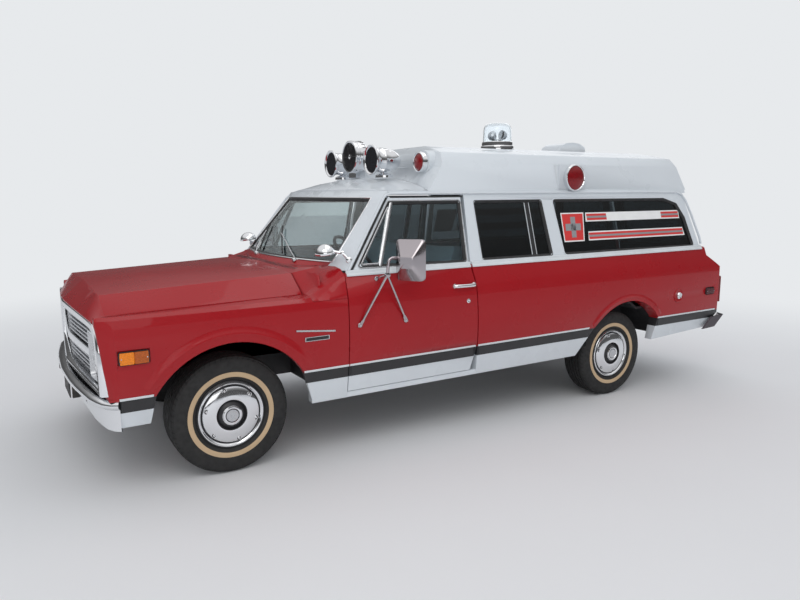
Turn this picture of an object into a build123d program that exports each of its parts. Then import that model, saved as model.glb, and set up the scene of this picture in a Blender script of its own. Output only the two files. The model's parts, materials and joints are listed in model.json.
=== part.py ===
from build123d import *
import os
from math import cos, dist, radians, sin

os.makedirs("parts", exist_ok=True)

# Lengths are millimetres. X points forward, Y to the left and Z up.
# The origin is on the ground under the middle of the whole vehicle.
# A station x is counted from the front axle, and forward is positive.

# driving dimensions
FRONT_AXLE_X = 1935.5
WHEELBASE = 3226.0
TAIL_UP_DEG = 1.0
TYRE_R = 352.0
TYRE_WIDTH = 214.0
FRONT_TRACK_Y = 805.0
REAR_TRACK_Y = 800.0
KINGPIN_Y = 700.0
GAP = 6.0

# heights of the body lines, in the level body
SILL_Z = 348.0
DOOR_FOOT_Z = 389.0
CREASE_Z = 985.0
BELT_Z = 1138.0
DOOR_TOP_Z = 1603.0
DRIP_Z = 1612.0
RAIL_TOP_Z = 1640.0
FLOOR_Z = 660.0
CAP_EDGE_Z = 1908.0
CAP_CREST_Z = 1992.0

# stations of the body's cross lines
NOSE_X = 655.0
COWL_X = -505.0
DOOR_FRONT_X = -741.0
POST_X = DOOR_FRONT_X + GAP
TAIL_X = -4575.0
CAP_FRONT_X = -1468.0
CAP_REAR_X = -4225.0

# half widths
CREASE_Y = 990.0
BELT_Y = 940.0
DRIP_Y = 806.0
INNER_Y = 890.0
UPPER_WALL = 42.0
OUTSIDE_Y = 1060.0

# The body stands tail up on its springs; the axles and wheels stay level.
BODY = Location((FRONT_AXLE_X, 0, 0), (0, TAIL_UP_DEG, 0))
GROUND = Location((FRONT_AXLE_X, 0, 0))


def save(piece, name, place=BODY):
    """Put a finished piece in its place in the vehicle and write it."""
    solid = piece.part.moved(place)
    solid.label = name
    export_step(solid, f"parts/{name}.step")


def side_run(points, y_from, y_to, mode=Mode.ADD, radius=0.0):
    """Extrude a side-view outline of (x, z) points across the vehicle."""
    with BuildSketch(Plane.XZ.offset(-y_to)) as outline:
        with BuildLine():
            Polyline(*points, close=True)
        make_face()
        if radius:
            fillet(outline.vertices(), radius)
    extrude(outline.sketch, amount=y_to - y_from, mode=mode)


def long_run(points, x_from, x_to, mode=Mode.ADD, radius=0.0):
    """Extrude a cross section of (y, z) points along the vehicle."""
    with BuildSketch(Plane.YZ.offset(x_from)) as outline:
        with BuildLine():
            Polyline(*points, close=True)
        make_face()
        if radius:
            fillet(outline.vertices(), radius)
    extrude(outline.sketch, amount=x_to - x_from, mode=mode)


def plan_run(points, z_from, z_to, mode=Mode.ADD):
    """Extrude a plan-view outline of (x, y) points upwards."""
    with BuildSketch(Plane.XY.offset(z_from)) as outline:
        with BuildLine():
            Polyline(*points, close=True)
        make_face()
    extrude(outline.sketch, amount=z_to - z_from, mode=mode)


def section_loft(stations, mode=Mode.ADD):
    """Loft straight between cross sections given as (x, closed list of (y, z))."""
    faces = []
    for x, points in stations:
        with BuildSketch(Plane.YZ.offset(x)) as outline:
            with BuildLine():
                Polyline(*points, close=True)
            make_face()
        faces.append(outline.sketch)
    loft(faces, ruled=True, mode=mode)


def arch_face(x, half_width, edge_z, crest_z, thick):
    """A roof section at a station: an arc and the lining a little below it."""
    with BuildSketch(Plane.YZ.offset(x)) as outline:
        with BuildLine():
            ThreePointArc((-half_width, edge_z), (0, crest_z), (half_width, edge_z))
            Line((half_width, edge_z), (half_width - 30, edge_z - thick))
            under = half_width - 30
            ThreePointArc((under, edge_z - thick), (0, crest_z - thick), (-under, edge_z - thick))
            Line((30 - half_width, edge_z - thick), (-half_width, edge_z))
        make_face()
    return outline.sketch


def block(x0, x1, y0, y1, z0, z1, mode=Mode.ADD):
    """A plain block between six coordinates."""
    with Locations(((x0 + x1) / 2, (y0 + y1) / 2, (z0 + z1) / 2)):
        Box(abs(x1 - x0), abs(y1 - y0), abs(z1 - z0), mode=mode)


def rod(x, y, z, radius, length, rotation=(0, 0, 0), mode=Mode.ADD):
    """A round bar centred on a point; it stands along Z until turned."""
    with Locations(Location((x, y, z), rotation)):
        Cylinder(radius, length, mode=mode)


def strut(start, end, radius):
    """A round bar between two points."""
    along = [b - a for a, b in zip(start, end)]
    with BuildSketch(Plane(start, z_dir=along)) as outline:
        Circle(radius)
    extrude(outline.sketch, amount=dist(start, end))


def turned(profile, centre, towards):
    """A solid turned from a profile of (distance along, radius) about an axis from a centre."""
    with BuildPart() as solid:
        with BuildSketch(Plane.XZ):
            with BuildLine():
                Polyline(*[(radius, along) for along, radius in profile], close=True)
            make_face()
        revolve(axis=Axis.Z)
    return Plane(centre, z_dir=towards).location * solid.part


def mirrored(half):
    """Add the other side of a half section of (y, z) points that ends at y 0."""
    return half + [(-y, z) for y, z in reversed(half[:-1])]


def shell(outer, inner):
    """Close a full-width section from its outer and inner half sections."""
    return mirrored(outer) + mirrored(inner)[::-1]


def wall_run(x_from, x_to, mode=Mode.ADD):
    """The left wall: curved lower skin, crease, belt and the leaning window wall."""
    with BuildSketch(Plane.YZ.offset(x_from)) as outline:
        with BuildLine():
            Line((950, SILL_Z), (984, 565))
            ThreePointArc((984, 565), (1000, 815), (CREASE_Y, CREASE_Z))
            Polyline(
                (CREASE_Y, CREASE_Z),
                (952, 1130),
                (BELT_Y, BELT_Z),
                (DRIP_Y, DRIP_Z),
                (DRIP_Y - UPPER_WALL, DRIP_Z),
                (BELT_Y - UPPER_WALL, BELT_Z),
                (INNER_Y, BELT_Z),
                (INNER_Y, SILL_Z),
                (950, SILL_Z),
            )
        make_face()
    extrude(outline.sketch, amount=x_to - x_from, mode=mode)


def wheel_arch(corners, apex):
    """Cut a wheel arch: foot, shoulder, arc over the apex, shoulder and foot."""
    front_foot, front_top, rear_top, rear_foot = corners
    with BuildSketch(Plane.XZ.offset(-OUTSIDE_Y)) as outline:
        with BuildLine():
            Line(front_foot, front_top)
            ThreePointArc(front_top, apex, rear_top)
            Polyline(rear_top, rear_foot, (rear_foot[0], 300), (front_foot[0], 300), front_foot)
        make_face()
    extrude(outline.sketch, amount=OUTSIDE_Y - 800, mode=Mode.SUBTRACT)


# outlines of doors and windows in side view, as (x, z)
DOOR_OUTLINE = [
    (DOOR_FRONT_X, DOOR_FOOT_Z),
    (DOOR_FRONT_X, 1134),
    (-798, 1141),
    (-1138, DOOR_TOP_Z),
    (-1742, DOOR_TOP_Z),
    (-1710, BELT_Z),
    (-1732, 1000),
    (-1748, 560),
    (-1705, DOOR_FOOT_Z),
]
DOOR_GLASS = [(-840, 1168), (-1682, 1156), (-1706, 1568), (-1131, 1568)]
SIDE_DOOR_OUTLINE = [
    (-1806, DOOR_FOOT_Z),
    (-1806, DOOR_TOP_Z),
    (-2539, DOOR_TOP_Z),
    (-2564, BELT_Z),
    (-2594, 900),
    (-2594, DOOR_FOOT_Z),
]
SIDE_DOOR_HOLE = [
    (-1800, DOOR_FOOT_Z - GAP),
    (-1800, DRIP_Z),
    (-2545, DRIP_Z),
    (-2570, BELT_Z),
    (-2600, 900),
    (-2600, DOOR_FOOT_Z - GAP),
]
SECOND_GLASS = [(-1830, 1160), (-2500, 1158), (-2472, 1568), (-1830, 1568)]
THIRD_GLASS = [(-2630, 1158), (-4198, 1152), (-4140, 1400), (-4063, 1520), (-3900, 1566), (-2592, 1568)]
SIDE_OUTLINE = [
    (-1766, SILL_Z),
    (-1756, 560),
    (-1740, 1000),
    (-1718, BELT_Z),
    (-4330, BELT_Z),
    (-4343, 1063),
    (-4536, 944),
    (TAIL_X, 562),
    (-4390, 404),
    (-3660, 371),
    (-2750, 342),
]
UPPER_OUTLINE = [(-1718, BELT_Z), (-1750, DRIP_Z), (-4165, DRIP_Z), (-4277, BELT_Z)]

# chassis: rails with a kick-up over the rear axle, and cross members
RAIL_TOP = [
    (620, 560),
    (-300, 560),
    (-900, 545),
    (-2500, 545),
    (-2850, 625),
    (-3650, 625),
    (-3950, 585),
    (-4470, 585),
]
RAIL_DEPTH = 120.0
RAIL_Y = 400.0
RAIL_WIDTH = 56.0
CROSS_MEMBERS = [
    # station x, height z of the middle, radius
    (560, 500, 34),
    (-1200, 515, 28),
    (-2350, 485, 30),
    (-3780, 545, 28),
    (-4430, 525, 28),
]
with BuildPart() as chassis_frame:
    rail = RAIL_TOP + [(x, z - RAIL_DEPTH) for x, z in reversed(RAIL_TOP)]
    for side in (1, -1):
        low = side * RAIL_Y - RAIL_WIDTH / 2
        side_run(rail, low, low + RAIL_WIDTH)
    for x, z, radius in CROSS_MEMBERS:
        rod(x, 0, z, radius, 2 * RAIL_Y, (90, 0, 0))
save(chassis_frame, "chassis_frame")

# floor pan with the boxes over the rear wheels
REAR_WHEEL_X = -WHEELBASE - 6
REAR_WHEEL_Z = 295.0
WHEELBOX_R = 470.0
WHEELBOX_Y = 640.0
FLOOR_EDGE_Y = 850.0
PAN_THICK = 20.0
SIDE_DOOR_REAR = -2606.0
with BuildPart() as floor_pan:
    block(-4480, POST_X, -FLOOR_EDGE_Y, FLOOR_EDGE_Y, FLOOR_Z - PAN_THICK, FLOOR_Z)
    block(-4480, SIDE_DOOR_REAR, -INNER_Y, INNER_Y, FLOOR_Z - PAN_THICK, FLOOR_Z)
    block(-4480, -1770, 0, INNER_Y, FLOOR_Z - PAN_THICK, FLOOR_Z)
    middle = (WHEELBOX_Y + INNER_Y) / 2
    width = INNER_Y - WHEELBOX_Y
    for side in (1, -1):
        rod(REAR_WHEEL_X, side * middle, REAR_WHEEL_Z, WHEELBOX_R, width, (90, 0, 0))
    for side in (1, -1):
        rod(REAR_WHEEL_X, side * (middle + 16), REAR_WHEEL_Z, WHEELBOX_R - 18, width, (90, 0, 0), Mode.SUBTRACT)
    block(-4500, 0, -900, 900, -300, FLOOR_Z - PAN_THICK, Mode.SUBTRACT)
save(floor_pan, "floor_pan")

# windshield: a curved frame and pane between two plan arcs
SCREEN_FOOT = dict(z=1150, centre=-553, corner=-765, y=936)
SCREEN_TOP = dict(z=RAIL_TOP_Z, centre=-1045, corner=-1125, y=797)
SCREEN_DEEP = 30.0
FOOT_PILLAR = 150.0
TOP_PILLAR = 112.0


def screen_level(z):
    """The windshield's plan arc at a height."""
    share = (z - SCREEN_FOOT["z"]) / (SCREEN_TOP["z"] - SCREEN_FOOT["z"])
    return {key: value + share * (SCREEN_TOP[key] - value) for key, value in SCREEN_FOOT.items()}


def screen_band(level, front, back, pillar):
    """A plan section of the windshield: a band between two arcs, narrower by a pillar."""
    y = level["y"] - pillar
    middle = level["centre"]
    end = middle + (level["corner"] - middle) * (y / level["y"]) ** 2
    with BuildSketch(Plane.XY.offset(level["z"])) as band:
        with BuildLine():
            ThreePointArc((end - front, -y), (middle - front, 0), (end - front, y))
            Line((end - front, y), (end - back, y))
            ThreePointArc((end - back, y), (middle - back, 0), (end - back, -y))
            Line((end - back, -y), (end - front, -y))
        make_face()
    return band.sketch


SCREEN_LOW = screen_level(1200)
SCREEN_HIGH = screen_level(1588)

# cowl: firewall, toe board, hinge pillars and the panel below the windshield
COWL_STATIONS = [
    # station x, outer half section and inner half section of (y, z)
    (
        POST_X,
        [(988, 986), (955, 1120), (900, 1158), (750, 1180), (0, 1188)],
        [(950, 986), (925, 1100), (880, 1128), (745, 1150), (0, 1158)],
    ),
    (
        COWL_X,
        [(988, 986), (900, 1004), (838, 1014), (665, 1128), (0, 1156)],
        [(950, 986), (890, 987), (820, 990), (650, 1100), (0, 1128)],
    ),
]
TOE_BOARD = [(-600, 980), (-600, 605), (POST_X, 660), (POST_X, 640), (-580, 572), (-580, 980)]
with BuildPart() as cowl:
    section_loft([(x, shell(outer, inner)) for x, outer, inner in COWL_STATIONS])
    behind = [screen_band(SCREEN_FOOT, 0, 700, 0), screen_band(SCREEN_TOP, 0, 700, 0)]
    loft(behind, ruled=True, mode=Mode.SUBTRACT)
    side_run(TOE_BOARD, -840, 840)
    for side in (1, -1):
        block(POST_X, -640, side * 868 - 20, side * 868 + 20, 400, 984)
    block(-600, -580, -880, 880, 572, 1140)
save(cowl, "cowl")

# upper body: windshield frame, window posts, roof rails and the front of the steel roof
ROOF_STATIONS = [
    # station x, crest z
    (-1040, 1646),
    (-1180, 1712),
    (-1340, 1742),
    (-1600, 1742),
]
RAIL_SECTION = [(DRIP_Y, DRIP_Z), (800, RAIL_TOP_Z), (690, RAIL_TOP_Z), (690, DRIP_Z)]
with BuildPart() as upper_body:
    wall_run(-4400, -1700)
    side_run(UPPER_OUTLINE, 700, OUTSIDE_Y, Mode.INTERSECT)
    side_run(SECOND_GLASS, 700, OUTSIDE_Y, Mode.SUBTRACT, 26)
    side_run(THIRD_GLASS, 700, OUTSIDE_Y, Mode.SUBTRACT, 26)
    mirror(about=Plane.XZ)
    side_run(SIDE_DOOR_HOLE, -OUTSIDE_Y, -700, Mode.SUBTRACT)
    for side in (1, -1):
        long_run([(side * y, z) for y, z in RAIL_SECTION], -4210, -1140)
    block(-4210, -4160, -800, 800, DRIP_Z, RAIL_TOP_Z)
    roof = [arch_face(x, 800, RAIL_TOP_Z - 4, crest, 24) for x, crest in ROOF_STATIONS]
    loft(roof, ruled=True)
    ahead = [screen_band(SCREEN_FOOT, -500, 12, -200), screen_band(SCREEN_TOP, -500, 12, -200)]
    loft(ahead, ruled=True, mode=Mode.SUBTRACT)
    extrude(screen_band(SCREEN_TOP, -500, 12, -200), amount=150, mode=Mode.SUBTRACT)
    loft([screen_band(SCREEN_FOOT, 0, SCREEN_DEEP, 0), screen_band(SCREEN_TOP, 0, SCREEN_DEEP, 0)], ruled=True)
    low = screen_band(SCREEN_LOW, -60, SCREEN_DEEP + 60, FOOT_PILLAR)
    high = screen_band(SCREEN_HIGH, -60, SCREEN_DEEP + 60, TOP_PILLAR)
    loft([low, high], ruled=True, mode=Mode.SUBTRACT)
save(upper_body, "upper_body")

# raised roof cap: a cross section and a side outline, hollow, with lamp pods and a vent
CAP_SECTION = [(800, RAIL_TOP_Z), (745, 1838), (690, CAP_EDGE_Z)]
CAP_SIDE = [
    (CAP_FRONT_X, RAIL_TOP_Z),
    (-1598, 1805),
    (-1638, 1915),
    (-1710, 1968),
    (-1860, 1988),
    (-4100, 1988),
    (-4150, 1850),
    (CAP_REAR_X, RAIL_TOP_Z),
]
CAP_INSIDE = [
    (CAP_FRONT_X - 48, 1600),
    (-1645, 1805),
    (-1682, 1900),
    (-1750, 1936),
    (-4060, 1940),
    (-4105, 1850),
    (-4170, 1600),
]
CAP_WALL = 36.0
ROOF_VENT = [
    (-3340, 1970),
    (-3358, 2032),
    (-3425, 2064),
    (-3510, 2072),
    (-3595, 2064),
    (-3662, 2032),
    (-3680, 1970),
]
ROOF_VENT_Y = 120.0
POD_Y = 570.0
POD_Z = 1842.0
SIDE_LAMP_X = -2811.0
SIDE_LAMP_Z = 1735.0
PAD_Y = 809.0


def cap_run(inset, mode=Mode.ADD):
    """The cap's cross section, drawn in by an inset, run over its whole length."""
    with BuildSketch(Plane.YZ.offset(CAP_REAR_X - 50)) as outline:
        with BuildLine():
            right = [(inset - y, z) for y, z in CAP_SECTION]
            left = [(y - inset, z) for y, z in reversed(CAP_SECTION)]
            Polyline(*right)
            ThreePointArc(right[-1], (0, CAP_CREST_Z - inset), left[0])
            Polyline(*left)
            Line(left[-1], right[0])
        make_face()
    extrude(outline.sketch, amount=CAP_FRONT_X - CAP_REAR_X + 100, mode=mode)


with BuildPart() as cap_hollow:
    cap_run(CAP_WALL)
    side_run(CAP_INSIDE, -900, 900, Mode.INTERSECT)

with BuildPart() as roof_cap:
    cap_run(0)
    side_run(CAP_SIDE, -900, 900, Mode.INTERSECT)
    for side in (1, -1):
        rod(-1652, side * POD_Y, POD_Z, 84, 168, (0, 90, 0))
        block(SIDE_LAMP_X - 144, SIDE_LAMP_X + 144, side * 700, side * PAD_Y, 1650, 1836)
    side_run(ROOF_VENT, -ROOF_VENT_Y, ROOF_VENT_Y)
    add(cap_hollow.part, mode=Mode.SUBTRACT)
    under = [arch_face(x, 801, RAIL_TOP_Z - 3, 1743, 200) for x in (CAP_FRONT_X + 20, -1760)]
    loft(under, ruled=True, mode=Mode.SUBTRACT)
save(roof_cap, "roof_cap")

# red lower sides with the rear wheel arches, and the sill under the front door
REAR_ARCH = [(-2751, 340), (-2932, 561), (-3702, 565), (-3660, 371)]
REAR_APEX = (-3330, 742)
TAIL_CORNER = [(-1000, 800), (-1000, OUTSIDE_Y), (-4505, OUTSIDE_Y), (-4505, 1004), (-4600, 925), (-4600, 800)]
REAR_MARKER = (-4434, -4334, 711, 771)
MARKER_DEEP_Y = 982.0
with BuildPart() as body_side_left:
    wall_run(-4600, -1700)
    side_run(SIDE_OUTLINE, 860, OUTSIDE_Y, Mode.INTERSECT)
    plan_run(TAIL_CORNER, 300, 1200, Mode.INTERSECT)
    wheel_arch(REAR_ARCH, REAR_APEX)
    back, front, low, high = REAR_MARKER
    block(back - 4, front + 4, MARKER_DEEP_Y, OUTSIDE_Y, low - 4, high + 4, Mode.SUBTRACT)
    foot = DOOR_FOOT_Z - GAP
    block(-1770, POST_X, FLOOR_EDGE_Y, 950, SILL_Z, foot)
    block(-1770, POST_X, FLOOR_EDGE_Y, FLOOR_EDGE_Y + 12, foot, FLOOR_Z - PAN_THICK)
save(body_side_left, "body_side_left")

with BuildPart() as body_side_right:
    mirror(body_side_left.part, about=Plane.XZ)
    side_run(SIDE_DOOR_HOLE, -OUTSIDE_Y, -INNER_Y + 5, Mode.SUBTRACT)
    block(SIDE_DOOR_REAR, -1766, -950, -FLOOR_EDGE_Y, SILL_Z, foot)
    block(SIDE_DOOR_REAR, -1766, -FLOOR_EDGE_Y - 12, -FLOOR_EDGE_Y, foot, FLOOR_Z - PAN_THICK)
save(body_side_right, "body_side_right")

# skin below the rear doors, notched for the bumper irons
IRON_Y = 400.0
with BuildPart() as rear_sill:
    side_run([(-4570, 500), (-4395, 404), (-4383, 404), (-4558, 500)], -INNER_Y + 2, INNER_Y - 2)
    for side in (1, -1):
        block(-4600, -4300, side * IRON_Y - 24, side * IRON_Y + 24, 425, 520, Mode.SUBTRACT)
save(rear_sill, "rear_sill")

# front fenders: outer skin, rolled top, inner apron and shelf
FRONT_ARCH = [(454, 405), (419, 565), (-433, 565), (-495, 373)]
FRONT_APEX = (-60, 800)
FENDER_INNER_Y = 945.0
APRON_Y = 462.0
SEAM_Y = 838.0
FRONT_MARKER = (447, 600, 733, 824)
FENDER_TOP_STATIONS = [
    # station x, closed section of (y, z)
    (COWL_X, [(CREASE_Y, CREASE_Z), (950, 1006), (SEAM_Y, 1014), (SEAM_Y, 988), (945, 970)]),
    (NOSE_X, [(CREASE_Y, CREASE_Z), (950, 1000), (SEAM_Y, 984), (SEAM_Y, 958), (945, 970)]),
]
with BuildPart() as fender_left:
    wall_run(POST_X, NOSE_X)
    block(-800, 700, 600, OUTSIDE_Y, CREASE_Z, 1700, Mode.SUBTRACT)
    block(-500, 700, 880, FENDER_INNER_Y, 300, 1000, Mode.SUBTRACT)
    wheel_arch(FRONT_ARCH, FRONT_APEX)
    block(454, 700, 880, OUTSIDE_Y, 300, 404, Mode.SUBTRACT)
    block(602, 700, 880, OUTSIDE_Y, 300, 556, Mode.SUBTRACT)
    section_loft(FENDER_TOP_STATIONS)
    block(NOSE_X - 25, NOSE_X, 860, 970, 560, 975)
    shelf = [(FENDER_INNER_Y, 935), (APRON_Y, 900), (APRON_Y, 885), (FENDER_INNER_Y, 920)]
    long_run(shelf, -560, 500)
    block(-560, 500, APRON_Y, APRON_Y + 14, 575, 890)
    back, front, low, high = FRONT_MARKER
    block(back - 4, front + 4, MARKER_DEEP_Y, OUTSIDE_Y, low - 4, high + 4, Mode.SUBTRACT)
save(fender_left, "fender_left")

with BuildPart() as fender_right:
    mirror(fender_left.part, about=Plane.XZ)
save(fender_right, "fender_right")

# hood: a shell lofted through three sections, its nose trimmed to the bowed front edge
HOOD_STATIONS = [
    # station x, thickness, half section of (y, z) from the seam to the middle
    (COWL_X + GAP, 26, [(832, 1015), (665, 1130), (0, 1158)]),
    (628, 26, [(832, 992), (652, 1080), (0, 1102)]),
    (765, 6, [(832, 880), (652, 872), (0, 972)]),
]
NOSE_BOW = [(668, 832), (752, 0), (668, -832)]
with BuildPart() as hood:
    section_loft([(x, shell(half, [(y, z - thick) for y, z in half])) for x, thick, half in HOOD_STATIONS])
    with BuildSketch(Plane.XY.offset(700)) as trim:
        with BuildLine():
            ThreePointArc(*NOSE_BOW)
            Polyline(NOSE_BOW[-1], (900, -900), (900, 900), NOSE_BOW[0])
        make_face()
    extrude(trim.sketch, amount=600, mode=Mode.SUBTRACT)
save(hood, "hood")

# grille: bowed surround, cross bars and lamp openings
LAMP_Y = 735.0
LAMP_Z = 760.0
LAMP_R = 118.0
GRILLE_BARS = [
    # height z of the middle, distance behind the face, half height
    (648, 36, 9),
    (695, 36, 9),
    (760, 22, 22),
    (822, 36, 9),
    (868, 36, 9),
]
SURROUND = [(955, 580), (955, 925), (835, 922), (640, 930), (400, 932), (0, 960)]
GRILLE_OPENING = [(905, 620), (905, 895), (800, 905), (0, 905)]
GRILLE_BACK_X = 661.0
GRILLE_END_X = 722.0
GRILLE_MIDDLE_X = 762.0


def bowed_run(z_from, z_to, behind, mode=Mode.ADD):
    """A level slab whose front edge follows the grille's bow at a distance behind its face."""
    with BuildSketch(Plane.XY.offset(z_from)) as slab:
        with BuildLine():
            ends = [(GRILLE_END_X - behind, 960), (GRILLE_END_X - behind, -960)]
            ThreePointArc(ends[0], (GRILLE_MIDDLE_X - behind, 0), ends[1])
            Polyline(ends[1], (GRILLE_BACK_X, -960), (GRILLE_BACK_X, 960), ends[0])
        make_face()
    extrude(slab.sketch, amount=z_to - z_from, mode=mode)


with BuildPart() as grille:
    long_run(mirrored(SURROUND) + [(-955, 575), (955, 575)], GRILLE_BACK_X, 800)
    long_run(mirrored(GRILLE_OPENING), 650, 800, Mode.SUBTRACT)
    bowed_run(560, 1000, 0, Mode.INTERSECT)
    for z, behind, half in GRILLE_BARS:
        bowed_run(z - half, z + half, behind)
    for side in (1, -1):
        block(GRILLE_BACK_X - 5, 800, side * 912, side * 970, 600, 900, Mode.SUBTRACT)
        block(GRILLE_BACK_X, GRILLE_END_X - 10, side * 905, side * 955, 580, 925)
    for side in (1, -1):
        rod(674, side * LAMP_Y, LAMP_Z, LAMP_R + 22, 26, (0, 90, 0))
    for side in (1, -1):
        rod(720, side * LAMP_Y, LAMP_Z, LAMP_R, 160, (0, 90, 0), Mode.SUBTRACT)
save(grille, "grille")

# headlamps: domed lens in a bowl, as (station x, radius)
LAMP_PROFILE = [(600, 0), (640, 70), (668, LAMP_R - 1), (690, LAMP_R - 1), (706, 50), (710, 0)]
with BuildPart() as headlamps:
    for side in (1, -1):
        add(turned(LAMP_PROFILE, (0, side * LAMP_Y, LAMP_Z), (1, 0, 0)))
save(headlamps, "headlamps")

with BuildPart() as radiator:
    block(470, 535, -370, 370, 575, 950)
save(radiator, "radiator")

# bumpers: a bowed blade with wrapped ends, held by irons on the rails
FRONT_BLADE = [(796, 0), (784, 350), (760, 620), (734, 800), (694, 925), (618, 1002)]
REAR_BLADE = [(-4684, 0), (-4684, 640), (-4668, 900), (-4620, 985), (-4425, 1006)]
BLADE_THICK = 12.0
FRONT_BLADE_Z = (392, 546)
REAR_BLADE_Z = (398, 500)
STEP_Z = 490.0
STEP_THICK = 10.0
STEP_Y = 640.0
HITCH_X = -4636.0
HITCH_R = 12.7
BLADE_FOOT = [(1010, 384), (920, 390), (830, 420), (470, 470), (0, 500)]


def blade(points, inward):
    """A full-width plan band from a half outline, as thick as the blade."""
    inner = [(x + inward, y - BLADE_THICK if y > 900 else y) for x, y in points]
    left = points + inner[::-1]
    right = [(x, -y) for x, y in left]
    return left, right


with BuildPart() as front_bumper:
    for half in blade(FRONT_BLADE, -BLADE_THICK):
        plan_run(half, *FRONT_BLADE_Z)
    long_run(mirrored(BLADE_FOOT) + [(-1010, 300), (1010, 300)], 550, 850, Mode.SUBTRACT)
    for side in (1, -1):
        block(620, 776, side * IRON_Y - 12, side * IRON_Y + 12, 478, 534)
save(front_bumper, "front_bumper")

# painted panel that closes the gap between grille and bumper
VALANCE_BACK_X = 640.0
with BuildPart() as front_valance:
    edge = [(x - 26, y) for x, y in FRONT_BLADE[:-1]]
    plan_run(edge + [(VALANCE_BACK_X, 925), (VALANCE_BACK_X, 0)], 552, 560)
    mirror(about=Plane.XZ)
    block(VALANCE_BACK_X, VALANCE_BACK_X + 12, -850, 850, 556, 575)
save(front_valance, "front_valance")

with BuildPart() as rear_bumper:
    for half in blade(REAR_BLADE, BLADE_THICK):
        plan_run(half, *REAR_BLADE_Z)
    block(-4674, -4600, -STEP_Y, STEP_Y, STEP_Z, STEP_Z + STEP_THICK)
    rod(HITCH_X, 0, STEP_Z, HITCH_R, 40, mode=Mode.SUBTRACT)
    for side in (1, -1):
        block(-4674, -4470, side * IRON_Y - 12, side * IRON_Y + 12, 440, STEP_Z)
save(rear_bumper, "rear_bumper")


def door_leaf(outline, glass, rear_edge):
    """A left door: the body wall cut to its outline, its window cut and its rear edge bevelled."""
    stations = [x for x, z in outline]
    wall_run(min(stations) - 5, max(stations) + 5)
    side_run(outline, 700, OUTSIDE_Y, Mode.INTERSECT)
    side_run(glass, 700, OUTSIDE_Y, Mode.SUBTRACT, 22)
    faces = []
    for y in (BEVEL_FROM_Y, BEVEL_TO_Y):
        forward = (BEVEL_FROM_Y - y) * BEVEL_SLOPE
        with BuildSketch(Plane.XZ.offset(-y)) as wedge:
            with BuildLine():
                edge = [(x + forward, z) for x, z in rear_edge]
                Polyline(*edge, (-3000, rear_edge[-1][1]), (-3000, rear_edge[0][1]), close=True)
            make_face()
        faces.append(wedge.sketch)
    loft(faces, ruled=True, mode=Mode.SUBTRACT)


def pane(outline, radius=22.0):
    """A window pane: its outline cut from a thin sheet in the leaning window wall."""
    stations = [x for x, z in outline]
    sheet = [(BELT_Y - 16, BELT_Z), (DRIP_Y - 16, DRIP_Z), (DRIP_Y - 22, DRIP_Z), (BELT_Y - 22, BELT_Z)]
    long_run(sheet, min(stations) - 5, max(stations) + 5)
    side_run(outline, 700, OUTSIDE_Y, Mode.INTERSECT, radius)


# side doors and their glass
BEVEL_FROM_Y = 1002.0
BEVEL_TO_Y = 742.0
BEVEL_SLOPE = 0.11
DOOR_REAR_EDGE = [(-1743, 1620), (-1710, BELT_Z), (-1732, 1000), (-1748, 560), (-1748, 380)]
SIDE_DOOR_REAR_EDGE = [(-2538, 1620), (-2564, BELT_Z), (-2594, 900), (-2594, 380)]
with BuildPart() as front_door_left:
    door_leaf(DOOR_OUTLINE, DOOR_GLASS, DOOR_REAR_EDGE)
save(front_door_left, "front_door_left")

with BuildPart() as front_door_right:
    mirror(front_door_left.part, about=Plane.XZ)
save(front_door_right, "front_door_right")

with BuildPart() as side_door:
    door_leaf(SIDE_DOOR_OUTLINE, SECOND_GLASS, SIDE_DOOR_REAR_EDGE)

with BuildPart() as side_door_right:
    mirror(side_door.part, about=Plane.XZ)
save(side_door_right, "side_door_right")

with BuildPart() as door_glass_left:
    pane(DOOR_GLASS)
save(door_glass_left, "door_glass_left")

with BuildPart() as door_glass_right:
    mirror(door_glass_left.part, about=Plane.XZ)
save(door_glass_right, "door_glass_right")

with BuildPart() as second_pane:
    pane(SECOND_GLASS)

with BuildPart() as side_door_glass:
    mirror(second_pane.part, about=Plane.XZ)
save(side_door_glass, "side_door_glass")

# fixed glass: windshield, second window on the left and the long third windows
with BuildPart() as second_fixed_pane:
    pane(SECOND_GLASS, 26)

with BuildPart() as third_pane:
    pane(THIRD_GLASS, 26)

with BuildPart() as windshield:
    pane_foot = screen_band(SCREEN_LOW, 12, 18, FOOT_PILLAR)
    pane_head = screen_band(SCREEN_HIGH, 12, 18, TOP_PILLAR)
    loft([pane_foot, pane_head], ruled=True)

with BuildPart() as fixed_glass:
    add(second_fixed_pane.part)
    add(third_pane.part)
    mirror(third_pane.part, about=Plane.XZ)
    add(windshield.part)
save(fixed_glass, "fixed_glass")

# rear doors: two leaves that meet in the middle, each with a window
REAR_SKIN = [(-4548, 512), (-4588, 572), (-4556, 944), (-4362, 1063), (-4350, 1130), (-4208, DOOR_TOP_Z)]
REAR_DEEP = 46.0
LEAF_TOP_Z = 1592.0
LEAF = [(8, 512), (4, 760), (4, 940), (24, 1070), (31, LEAF_TOP_Z), (756, LEAF_TOP_Z), (882, 1130), (882, 512)]
REAR_WINDOW = [(112, 1190), (770, 1190), (684, 1555), (112, 1555)]


def rear_sheet(outer, inner, outline, radius=0.0):
    """A sheet between two depths behind the rear skin, cut to a rear-view outline."""
    skin = [(x + outer, z) for x, z in REAR_SKIN] + [(x + inner, z) for x, z in reversed(REAR_SKIN)]
    side_run(skin, 0, 900)
    long_run(outline, -4700, -4100, Mode.INTERSECT, radius)


with BuildPart() as rear_door_left:
    rear_sheet(0, REAR_DEEP, LEAF)
    long_run(REAR_WINDOW, -4700, -4100, Mode.SUBTRACT, 40)
save(rear_door_left, "rear_door_left")

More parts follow.
